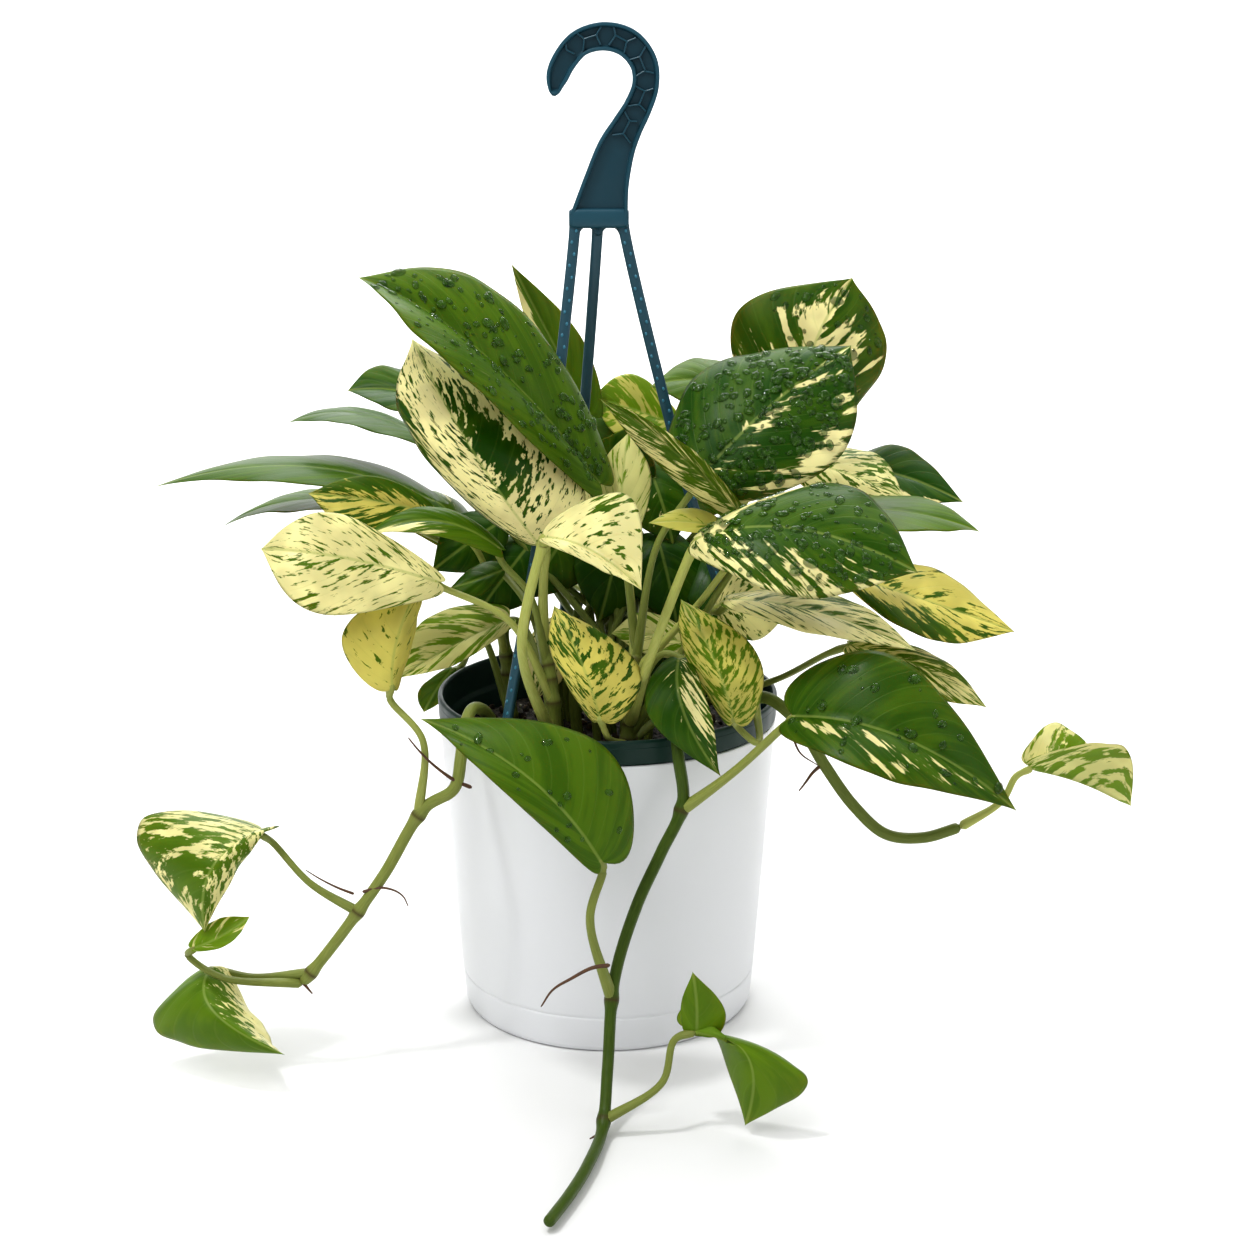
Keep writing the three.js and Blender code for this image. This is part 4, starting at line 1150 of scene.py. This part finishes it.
def inner_stalk(base, foot):
    """A thin petiole's line from the soil up to an inner blade's base."""
    high = np.array(base, float)
    low = np.array([foot[0], foot[1], SOIL_PLACE - 6.0])
    line = np.array([low, low * [1, 1, 0] + [0, 0, SOIL_PLACE + 30], high * [0.8, 1, 1] - [0, -3, 12], high])
    return smooth_path(line * MM, 24)


# ---- operators --------------------------------------------------------------------


class POTHOS_OT_cover_pot(bpy.types.Operator):
    """Turn the glossy white cover pot with its foot, groove and rim"""

    bl_idname = "pothos.cover_pot"
    bl_label = "Cover Pot"

    def execute(self, context):
        pots = context.scene.pothos_pots
        rim, high = COVER_HIGH.x, COVER_HIGH.z
        foot, base = 0.0715, 0.072
        wall = pots.wall
        groove = 18 * MM

        def wall_at(height):
            """The outer radius at a height: straight from the base to the rim."""
            return base + (rim - base) * height / high

        # Out from the middle of the underside, up the outside with its groove, over the rim and down inside.
        corners = [
            (0, 0.8 * MM),
            (foot - 6 * MM, 0.8 * MM),
            (foot - 4.5 * MM, 0),
            (foot - 1.2 * MM, 0),
            (foot + 0.2 * MM, 2.4 * MM),
            (wall_at(groove) - 0.1 * MM, groove - 0.9 * MM),
            (wall_at(groove) - 0.7 * MM, groove),
            (wall_at(groove), groove + 0.9 * MM),
            (wall_at(0.09), 0.09),
            (rim, high - 0.6 * MM),
            (rim - wall / 2, high),
            (rim - wall, high - 0.6 * MM),
            (wall_at(0.006) - wall - 1 * MM, 3.6 * MM),
            (wall_at(0) - wall - 5 * MM, 2.6 * MM),
            (0, 2.6 * MM),
        ]
        finish = moulded_plastic("white_gloss_plastic", pots.cover_colour, 0.32, 0.006)
        shell = turned(rounded(corners, 0.8 * MM), 180)
        add_piece("cover_pot_shell", shell, finish, ["cover_pot"])
        return {"FINISHED"}


class POTHOS_OT_grow_pot(bpy.types.Operator):
    """Turn the dark nursery pot with its deep rim band"""

    bl_idname = "pothos.grow_pot"
    bl_label = "Nursery Pot"

    def execute(self, context):
        pots = context.scene.pothos_pots
        rim, high = GROW_HIGH.x, GROW_HIGH.z
        low = GROW_LOW.z
        # Out from the middle of the underside, up to the deep rim band, over it and down inside.
        corners = [
            (0, low),
            (0.059, low),
            (0.0605, low + 1.5 * MM),
            (0.0794, 0.1478),
            (rim - 0.6 * MM, 0.1484),
            (rim - 0.3 * MM, 0.1492),
            (rim - 0.1 * MM, 0.1560),
            (rim, 0.1568),
            (rim, high - 0.8 * MM),
            (rim - 0.9 * MM, high),
            (rim - 2.1 * MM, high),
            (rim - 2.6 * MM, high - 1.2 * MM),
            (0.0790, 0.1465),
            (0.0778, 0.1440),
            (0.0585, low + 1.5 * MM),
            (0, low + 1.5 * MM),
        ]
        finish = moulded_plastic(
            "nursery_green_plastic", pots.grow_colour, 0.40, 0.25, 260.0, 0.0002, Specular_IOR_Level=0.3
        )
        shell = turned(rounded(corners, 0.5 * MM, 4), 180)
        add_piece("grow_pot_shell", shell, finish, ["grow_pot"])
        return {"FINISHED"}


def uneven(x, y, waves, seed):
    """A lumpy height, mostly between -1 and 1: the mean of sines with drawn directions, lengths and phases."""
    draw = np.random.default_rng(seed)
    angle = draw.uniform(0, 2 * np.pi, waves)
    rate = 2 * np.pi / draw.uniform(5 * MM, 28 * MM, waves)
    phase = draw.uniform(0, 2 * np.pi, waves)
    reach = x[..., None] * np.cos(angle) + y[..., None] * np.sin(angle)
    return np.sin(reach * rate + phase).mean(-1) * 2.2


def pebble(rows, sides):
    """A unit ball from rings: (sin a cos w, sin a sin w, cos a)."""
    a = np.linspace(0, np.pi, rows + 2)[1:-1][:, None]
    w = np.linspace(0, 2 * np.pi, sides, endpoint=False)[None]
    rings = np.stack(np.broadcast_arrays(np.sin(a) * np.cos(w), np.sin(a) * np.sin(w), np.cos(a)), axis=-1)
    return closed_loft(rings, [0, 0, 1], [0, 0, -1])


def random_turns(draw, count, scales):
    """Random turns: each is three directions square to each other, from two random ones, times its scales."""
    first = unit(draw.normal(size=(count, 3)))
    second = unit(np.cross(first, draw.normal(size=(count, 3))))
    third = np.cross(first, second)
    return np.stack([first, second, third], axis=1) * scales[..., None]


SOIL_RADIUS = 0.075
SOIL_SLUMP = 2.5 * MM  # how much lower the soil lies at its edge than in the middle
SOIL_WAVES, SOIL_SEED = 40, 5


class POTHOS_OT_soil(bpy.types.Operator):
    """Fill the nursery pot with lumpy soil, and scatter bark and perlite on it"""

    bl_idname = "pothos.soil"
    bl_label = "Soil"

    def execute(self, context):
        settings = context.scene.pothos_soil
        top = SOIL_HIGH.z - 1 * MM
        bottom = SOIL_LOW.z
        # Up the outside from the middle of the underside, then in over the lumpy top.
        rings = 44
        w = np.linspace(0, 2 * np.pi, 120, endpoint=False)
        radii = np.concatenate([[0.03, 0.0585, 0.0745], np.linspace(0.0752, 0.002, rings)])
        heights = np.concatenate([[bottom, bottom + 1 * MM, top - 4 * MM], np.full(rings, top)])
        x = radii[:, None] * np.cos(w)
        y = radii[:, None] * np.sin(w)
        lumps = uneven(x, y, SOIL_WAVES, SOIL_SEED) * settings.relief
        fade = np.concatenate([[0, 0, 0], np.ones(rings)])[:, None]
        z = heights[:, None] + lumps * fade - SOIL_SLUMP * fade * (radii[:, None] / SOIL_RADIUS) ** 6
        shell = closed_loft(np.stack([x, y, z], axis=-1), [0, 0, bottom], [0, 0, top])
        add_piece("soil_body", shell, soil_finish(), ["soil"])

        draw = np.random.default_rng(11)
        count = settings.bits
        radius = 0.073 * np.sqrt(draw.uniform(0, 1, count))
        angle = draw.uniform(0, 2 * np.pi, count)
        bx, by = radius * np.cos(angle), radius * np.sin(angle)
        lumps = uneven(bx, by, SOIL_WAVES, SOIL_SEED) * settings.relief
        bz = top + lumps - SOIL_SLUMP * (radius / SOIL_RADIUS) ** 6
        sizes = draw.uniform(0.9, 3.0, (count, 3)) * MM
        turns = random_turns(draw, count, sizes)
        places = np.stack([bx, by, bz + 0.4 * MM], axis=1)
        white = draw.uniform(0, 1, count) < 0.22
        turns[white] *= 0.6
        bark = bits_finish("bark", (0.012, 0.007, 0.004, 1), (0.09, 0.05, 0.024, 1))
        perlite = bits_finish("perlite", (0.5, 0.48, 0.42, 1), (0.85, 0.84, 0.8, 1))
        ball = pebble(4, 7)
        bark_shell = repeat_shell(ball, turns[~white], places[~white])
        perlite_shell = repeat_shell(ball, turns[white], places[white])
        add_piece("bark_bits", bark_shell, bark, crease=30)
        add_piece("perlite_bits", perlite_shell, perlite)
        return {"FINISHED"}


def boxy(count, power):
    """A rounded square section: (|cos w|^power, |sin w|^power) with the signs of cos w and sin w."""
    w = np.linspace(0, 2 * np.pi, count, endpoint=False)
    return (
        np.sign(np.cos(w)) * np.abs(np.cos(w)) ** power,
        np.sign(np.sin(w)) * np.abs(np.sin(w)) ** power,
    )


PLATE_NORMAL = np.array([0.0, 1.0, 0.0])


def hook_shell(depth):
    """The hook: an I section, a raised flange round a thin web, carried along the spine.

    Each section point is (side, inset, height): it lies at side * half width + inset across the plate.
    At the two ends the web rises to the flange.
    """
    spine = np.array(HOOK_SPINE, float) * MM
    line = along_path(smooth_path(spine, 24), np.linspace(0, 1, 150))
    path = np.stack([line[:, 0], np.zeros(len(line)), line[:, 1]], axis=1)
    half = line[:, 2][:, None]
    d, web, flange, edge = depth / 2, 0.9 * MM, 1.7 * MM, 0.6 * MM
    quarter = [
        (0.0, d - edge),
        (0.25 * edge, d - 0.3 * edge),
        (edge, d),
        (flange - 0.3 * MM, d),
        (flange, d - 0.3 * MM),
        (flange + 0.25 * MM, web + 0.5 * MM),
        (flange + 0.8 * MM, web),
    ]
    corners = (
        [(-1, inset, height) for inset, height in quarter]
        + [(1, -inset, height) for inset, height in quarter[::-1]]
        + [(1, -inset, -height) for inset, height in quarter]
        + [(-1, inset, -height) for inset, height in quarter[::-1]]
    )
    side, inset, height = np.array(corners).T
    run = path_length(path)
    closing = np.clip(1 - np.minimum(run, run[-1] - run) / (3.2 * MM), 0, 1)[:, None]
    closing = np.clip(closing * 2, 0, 1)
    thick = height + (np.sign(height) * (d - 0.1 * MM) - height) * closing * (np.abs(height) < d - edge)
    narrow = np.minimum(1, half / (4.2 * MM))
    across = side * half + inset * narrow
    tip = np.sqrt(np.clip(1 - (1 - np.clip(run / (2.2 * MM), 0, 1)) ** 2, 0.15, 1))[:, None]
    return carried(path, across * tip, thick * (0.55 + 0.45 * tip), None, PLATE_NORMAL)


def hook_ribs(depth):
    """The honeycomb: a thin upright bar along each broken line, through the web."""
    rows, sides = 14, 12
    a, b = boxy(sides, 0.5)
    shells = []
    for line in HOOK_RIBS:
        flat = np.array([(x, 0, z) for x, z in line], float) * MM
        path = along_path(rounded(flat, 0.8 * MM, 4) if len(flat) > 2 else flat, np.linspace(0, 1, rows))
        across = np.broadcast_to(a * 0.42 * MM, (rows, sides))
        thick = np.broadcast_to(b * (depth / 2 - 0.3 * MM), (rows, sides))
        shells.append(carried(path, across, thick, None, PLATE_NORMAL))
    return shells


def crown_shells():
    """The crown's stepped foot, a rounded bar, and the arched webs between the straps."""
    rows = 24
    a, b = boxy(24, 0.45)
    x = np.linspace(*CROWN_ENDS, rows)
    path = np.stack([x, np.zeros(rows), np.full(rows, CROWN_HEIGHT)], axis=1) * MM
    fall = (1 - 0.25 * np.abs(np.linspace(-1, 1, rows)) ** 12)[:, None]
    shells = [carried(path, fall * a * 4.6 * MM, fall * b * 3.65 * MM, None, PLATE_NORMAL)]
    turn = np.linspace(0, np.pi, 22)
    for left, right in CROWN_ARCHES:
        middle, reach = (left + right) / 2, (right - left) / 2 + 1.2
        arch = np.stack([middle - reach * np.cos(turn), 0 * turn, 380.5 + 5.5 * np.sin(turn)], axis=1)
        shells.append(rod(arch * MM, np.full(len(turn), 1.7 * MM), 12, None, 0.0, PLATE_NORMAL))
    return shells


STRAP_ROWS, STRAP_DOTS, CLIP_ROWS = 120, 44, 30


def strap_shells(start, degrees, width):
    """One strap, a rounded flat section carried down to the rim, its foot's clip, and its moulded dots."""
    angle = math.radians(degrees)
    outward = np.array([math.cos(angle), math.sin(angle), 0.0])
    foot = outward * STRAP_FOOT_RADIUS + [0, 0, STRAP_FOOT_HEIGHT]
    shoulder = np.array([start, 0, SHOULDER_HEIGHT])
    knee = shoulder + (foot - shoulder) * 0.55 - 5 * outward
    line = smooth_path(np.array([shoulder + [0, 0, 3], shoulder, knee, foot]) * MM, 60)
    plate_facing = np.array([0.0, math.copysign(1.0, outward[1]), 0.0])

    def facing(down):
        """The strap faces as the hook's plate does at the top, and turns to face outwards on its way down."""
        return plate_facing + (outward - plate_facing) * np.clip((down - 0.3) / 0.6, 0, 1)

    a, b = boxy(20, 0.62)
    down = np.linspace(0, 1, STRAP_ROWS)[:, None]
    half = width / 2 * (1.12 + 0.12 * np.exp(-((down / 0.03) ** 2)))
    band = carried(along_path(line, down[:, 0]), half * a, 1.75 * MM * b, None, facing(down))

    down = np.linspace(0.03, 0.97, STRAP_DOTS)[:, None]
    spots = along_path(line, down[:, 0])
    forward = unit(np.gradient(spots, axis=0))
    face = unit(facing(down) - forward * (forward * facing(down)).sum(1)[:, None])
    across = np.cross(face, forward)
    stagger = 0.8 * MM * np.where(np.arange(STRAP_DOTS) % 2 == 0, 1, -1)[:, None]
    spots = spots + face * 1.65 * MM + across * stagger
    scales = np.array([0.7, 1.0, 0.5]) * MM
    turns = np.stack([across * scales[0], forward * scales[1], face * scales[2]], axis=1)
    dots = repeat_shell(pebble(4, 8), turns, spots)

    heights = np.linspace(CLIP_LOW + 0.6, CLIP_HIGH - 0.4, CLIP_ROWS)
    path = np.stack([np.full(CLIP_ROWS, foot[0]), np.full(CLIP_ROWS, foot[1]), heights], axis=1) * MM
    a, b = boxy(24, 0.4)
    taper = np.clip(np.minimum(heights - CLIP_LOW, CLIP_HIGH - heights) / 1.2, 0.2, 1)[:, None]
    clip = carried(path, 4.9 * MM * a * (0.85 + 0.15 * taper), 1.05 * MM * b * taper, None, outward)
    return [band, clip], dots


class POTHOS_OT_hanger(bpy.types.Operator):
    """Mould the hanger: hook, honeycomb, crown, three straps and their clips"""

    bl_idname = "pothos.hanger"
    bl_label = "Hanger"

    def execute(self, context):
        settings = context.scene.pothos_hanger
        grain = (380.0, 0.00025)
        # The hook's sunken web gets 0.7 of its colour as painted shade.
        finish = moulded_plastic(
            "hanger_teal_plastic", settings.colour, 0.36, 0.30, *grain, recess_shade=0.7, Specular_IOR_Level=0.35
        )
        # The straps and dots are the hook's own plastic in two more copies: 0.9 as light on the straps, which
        # is painted shade, and 2.6 times as light on the dots, which is a painted highlight.
        strap_shade_colour, dot_highlight_colour = shade(settings.colour, 0.9)[:3], shade(settings.colour, 2.6)[:3]
        strap_shade_finish = moulded_plastic("hanger_strap_painted_shade", strap_shade_colour, 0.40, 0.25, *grain)
        dot_highlight_finish = moulded_plastic("hanger_dot_painted_highlight", dot_highlight_colour, 0.30, 0.25, *grain)
        hook = gather([hook_shell(settings.depth), *hook_ribs(settings.depth), *crown_shells()])
        add_piece("hook_and_crown", hook, finish, ["hanger"], crease=26)
        bands, dots = zip(*(strap_shells(start, degrees, settings.strap_width) for start, degrees in STRAPS))
        add_piece("hanger_straps", gather(sum(bands, [])), strap_shade_finish, crease=50)
        add_piece("hanger_strap_dots", gather(dots), dot_highlight_finish)
        return {"FINISHED"}


class POTHOS_OT_vines(bpy.types.Operator):
    """Grow the crowns, the trailing vines and their petioles"""

    bl_idname = "pothos.vines"
    bl_label = "Vines"

    def execute(self, context):
        settings = context.scene.pothos_vines
        finish = stem_finish()
        for name in VINES:
            add_piece(f"{name}_stems", gather(vine_shells(name, settings)), finish, [name])
        return {"FINISHED"}


class POTHOS_OT_inner_leaves(bpy.types.Operator):
    """Fill the heart of the plant with small dark leaves and thin petioles"""

    bl_idname = "pothos.inner_leaves"
    bl_label = "Inner Leaves"

    def execute(self, context):
        settings = context.scene.pothos_leaves
        skin = leaf_finish("inner_leaf_skin", settings.cream, settings)
        blades, stalks = [], []
        draw = np.random.default_rng(5)
        feet = draw.uniform((-26, -22), (26, 26), (len(INNER_LEAVES) + SPARE_STALKS, 2))
        for number, row in enumerate(INNER_LEAVES):
            look = INNER_LOOKS[row[3]]
            blade = Blade(inner_blade(row), look.bulge, INNER_SEED + number)
            blades.append(blade_shell(blade, look, settings))
        tops = [row[0] for row in INNER_LEAVES]
        tops += draw.uniform((-52, 8, 205), (56, 40, 240), (SPARE_STALKS, 3)).tolist()

        def stalk_size(u):
            return 1.7 * MM * (1.25 - 0.4 * u)

        for top, foot in zip(tops, feet):
            line = inner_stalk(top, foot)
            stalks.append(stem_rod(line, stalk_size, STALK_SIDES, 3 * MM, STALK_TINT, NO_NODES))
        add_piece("inner_leaves", gather(blades), skin)
        add_piece("inner_petioles", gather(stalks), bpy.data.materials["stem_skin"])
        return {"FINISHED"}


class POTHOS_OT_roots(bpy.types.Operator):
    """Grow the thin brown aerial roots"""

    bl_idname = "pothos.roots"
    bl_label = "Aerial Roots"

    def execute(self, context):
        recipe = Recipe("root_brown")
        bark = recipe.noise(recipe.place(), 500.0, 3.0)
        recipe.colour(recipe.mix(bark, (0.03, 0.012, 0.006, 1), (0.16, 0.075, 0.03, 1)))
        recipe.rough(recipe.ramp(bark, 0.3, 0.7, 0.5, 0.8))
        recipe.bump(bark, 0.5, 0.0004)
        shells = []
        for points, thick in ROOTS:
            path = along_path(smooth_path(np.array(points, float) * MM, 20), np.linspace(0, 1, 40))
            size = thick * MM * np.linspace(1, 0.35, 40)
            shells.append(rod(path, size, 10))
        add_piece("aerial_roots", gather(shells), recipe.material)
        return {"FINISHED"}


class POTHOS_OT_leaves(bpy.types.Operator):
    """Grow every leaf blade with its veins, bulges and variegation"""

    bl_idname = "pothos.leaves"
    bl_label = "Leaves"

    def execute(self, context):
        settings = context.scene.pothos_leaves
        finishes = {
            "leaf_green": leaf_finish("green_leaf_skin", settings.cream, settings),
            "leaf_cream": leaf_finish("cream_leaf_skin", settings.cream, settings),
            "leaf_yellow": leaf_finish("yellow_leaf_skin", settings.yellow, settings),
        }
        for name in LEAVES:
            look = LOOKS[name]
            shell = blade_shell(leaf_blade(name), look, settings)
            add_piece(f"{name}_blade", shell, finishes[look.slot], [name])
        look = LOOKS["leaf_39"]
        shell = blade_shell(Blade(STANDING_HALF, STANDING_BULGE, STANDING_SEED), look, settings)
        add_piece("leaf_39_standing_half", shell, finishes["leaf_green"])
        return {"FINISHED"}


DROP_HEIGHT = 0.42  # how high a drop stands for its radius


def drop_places(blade, count, vein_depth, draw):
    """Random places (s, v) on the upper face, with the normal and a random direction square to it."""
    s = draw.uniform(0.07, 0.93, count)
    v = draw.uniform(-0.88, 0.88, count)
    point, normal = blade.skin(s, v, vein_depth)[:2]
    side = unit(np.cross(normal, draw.normal(size=(count, 3))))
    return point, normal, side


class POTHOS_OT_drops(bpy.types.Operator):
    """Scatter water drops on the wet leaves"""

    bl_idname = "pothos.drops"
    bl_label = "Water Drops"

    def execute(self, context):
        largest = context.scene.pothos_drops.size
        vein_depth = context.scene.pothos_leaves.vein_depth
        draw = np.random.default_rng(23)
        turns, places = [], []
        for name, count in WET_LEAVES.items():
            point, normal, side = drop_places(leaf_blade(name), count, vein_depth, draw)
            size = largest * (0.22 + 0.78 * draw.uniform(0, 1, count) ** 1.8)
            long = size * draw.uniform(1.0, 1.6, count)
            other = np.cross(normal, side)
            axes = [side * long[:, None], other * size[:, None], normal * (size * DROP_HEIGHT)[:, None]]
            turns.append(np.stack(axes, axis=1))
            places.append(point + normal * (size * 0.05)[:, None])
        drops = repeat_shell(pebble(5, 10), np.concatenate(turns), np.concatenate(places))
        add_piece("water_drops", drops, water_finish())
        return {"FINISHED"}


def soft_light(name, place, aim, size, power):
    """A square area light that faces its aim."""
    lamp = bpy.data.lights.new(name, "AREA")
    lamp.size = size
    lamp.energy = power
    holder = bpy.data.objects.new(name, lamp)
    holder.location = place
    direction = Vector(aim) - Vector(place)
    holder.rotation_euler = direction.to_track_quat("-Z", "Y").to_euler()
    bpy.context.scene.collection.objects.link(holder)


class POTHOS_OT_stage(bpy.types.Operator):
    """Set the pale floor, the soft lights and the camera"""

    bl_idname = "pothos.stage"
    bl_label = "Stage"

    def execute(self, context):
        scene = context.scene
        settings = scene.pothos_stage
        # The floor runs back to `back` and turns up a quarter circle of radius `bend` into a wall.
        back, bend = 2.5, 1.5
        turn = np.linspace(0, np.pi / 2, 24)
        curve = np.stack([back + bend * np.sin(turn), bend - bend * np.cos(turn)], axis=1)
        y, z = np.concatenate([[(-6.0, 0.0)], curve, [(4.0, 6.0)]]).T
        wide = np.array([-7.0, 7.0])
        grid = np.stack(np.broadcast_arrays(wide[None], y[:, None], z[:, None]), axis=-1)
        start = np.arange(len(y) - 1)[:, None] * 2
        faces = (start + np.array([[0, 1, 3, 2]])).tolist()
        mesh = bpy.data.meshes.new("studio_floor")
        mesh.from_pydata((grid.reshape(-1, 3) - [0, 0, 0.0004]).tolist(), [], faces)
        mesh.shade_smooth()
        recipe = Recipe("studio_white", Specular_IOR_Level=0.2)
        paper = recipe.noise(recipe.place(), 3.0, 2.0)
        recipe.colour(recipe.mix(paper, (0.84, 0.84, 0.842, 1), (0.86, 0.86, 0.862, 1)))
        recipe.rough(recipe.ramp(paper, 0.3, 0.7, 0.75, 0.85))
        mesh.materials.append(recipe.material)
        floor = bpy.data.objects.new("studio_floor", mesh)
        scene.collection.objects.link(floor)

        world = bpy.data.worlds.new("studio_air")
        world.use_nodes = True
        air = world.node_tree.nodes["Background"].inputs
        air["Color"].default_value = (1.0, 1.0, 1.0, 1.0)
        air["Strength"].default_value = 0.44
        scene.world = world
        soft_light("key_light", (-0.9, -1.2, 1.9), (0, 0, 0.2), 1.4, 15)
        soft_light("top_light", (0.5, 0.5, 2.4), (0, 0, 0.2), 1.8, 12)
        soft_light("fill_light", (1.6, -0.9, 0.9), (0, 0, 0.25), 1.2, 4)
        soft_light("glint_light", (-0.5, -0.4, 1.6), (0, 0, 0.3), 0.14, 7)
        soft_light("backdrop_light", (0, 2.4, 2.6), (0, 3.2, 0), 2.6, 110)

        camera = bpy.data.objects.new("camera", bpy.data.cameras.new("camera"))
        camera.data.lens = settings.lens
        camera.data.sensor_width = 36
        camera.location = settings.place
        camera.rotation_euler = (math.pi / 2 - settings.pitch, 0, 0)
        scene.collection.objects.link(camera)
        scene.camera = camera
        scene.view_settings.view_transform = "Standard"
        scene.view_settings.look = "Medium High Contrast"
        return {"FINISHED"}


class POTHOS_PT_panel(bpy.types.Panel):
    """Lists the sizes and colours and the steps that build the plant"""

    bl_label = "Potted Pothos"
    bl_idname = "POTHOS_PT_panel"
    bl_space_type = "VIEW_3D"
    bl_region_type = "UI"
    bl_category = "Pothos"

    def draw(self, context):
        layout = self.layout
        for name in SETTINGS:
            settings = getattr(context.scene, name)
            box = layout.box()
            for label in type(settings).__annotations__:
                box.prop(settings, label)
        for operator in STEPS:
            layout.operator(operator.bl_idname)


SETTINGS = {
    "pothos_pots": PotSettings,
    "pothos_soil": SoilSettings,
    "pothos_hanger": HangerSettings,
    "pothos_vines": VineSettings,
    "pothos_leaves": LeafSettings,
    "pothos_drops": DropSettings,
    "pothos_stage": StageSettings,
}
STEPS = (
    POTHOS_OT_cover_pot,
    POTHOS_OT_grow_pot,
    POTHOS_OT_soil,
    POTHOS_OT_hanger,
    POTHOS_OT_vines,
    POTHOS_OT_inner_leaves,
    POTHOS_OT_roots,
    POTHOS_OT_leaves,
    POTHOS_OT_drops,
    POTHOS_OT_stage,
)


def register():
    """Registers the settings, the operators and the panel."""
    for group in (*SETTINGS.values(), *STEPS, POTHOS_PT_panel):
        bpy.utils.register_class(group)
    for name, group in SETTINGS.items():
        setattr(bpy.types.Scene, name, PointerProperty(type=group))


def unregister():
    """Takes away what register added."""
    for name in SETTINGS:
        delattr(bpy.types.Scene, name)
    for group in (POTHOS_PT_panel, *reversed(STEPS), *reversed(SETTINGS.values())):
        bpy.utils.unregister_class(group)


def main():
    """Builds the plant step by step."""
    register()
    for step in STEPS:
        family, name = step.bl_idname.split(".")
        getattr(getattr(bpy.ops, family), name)()


if __name__ == "__main__":
    main()
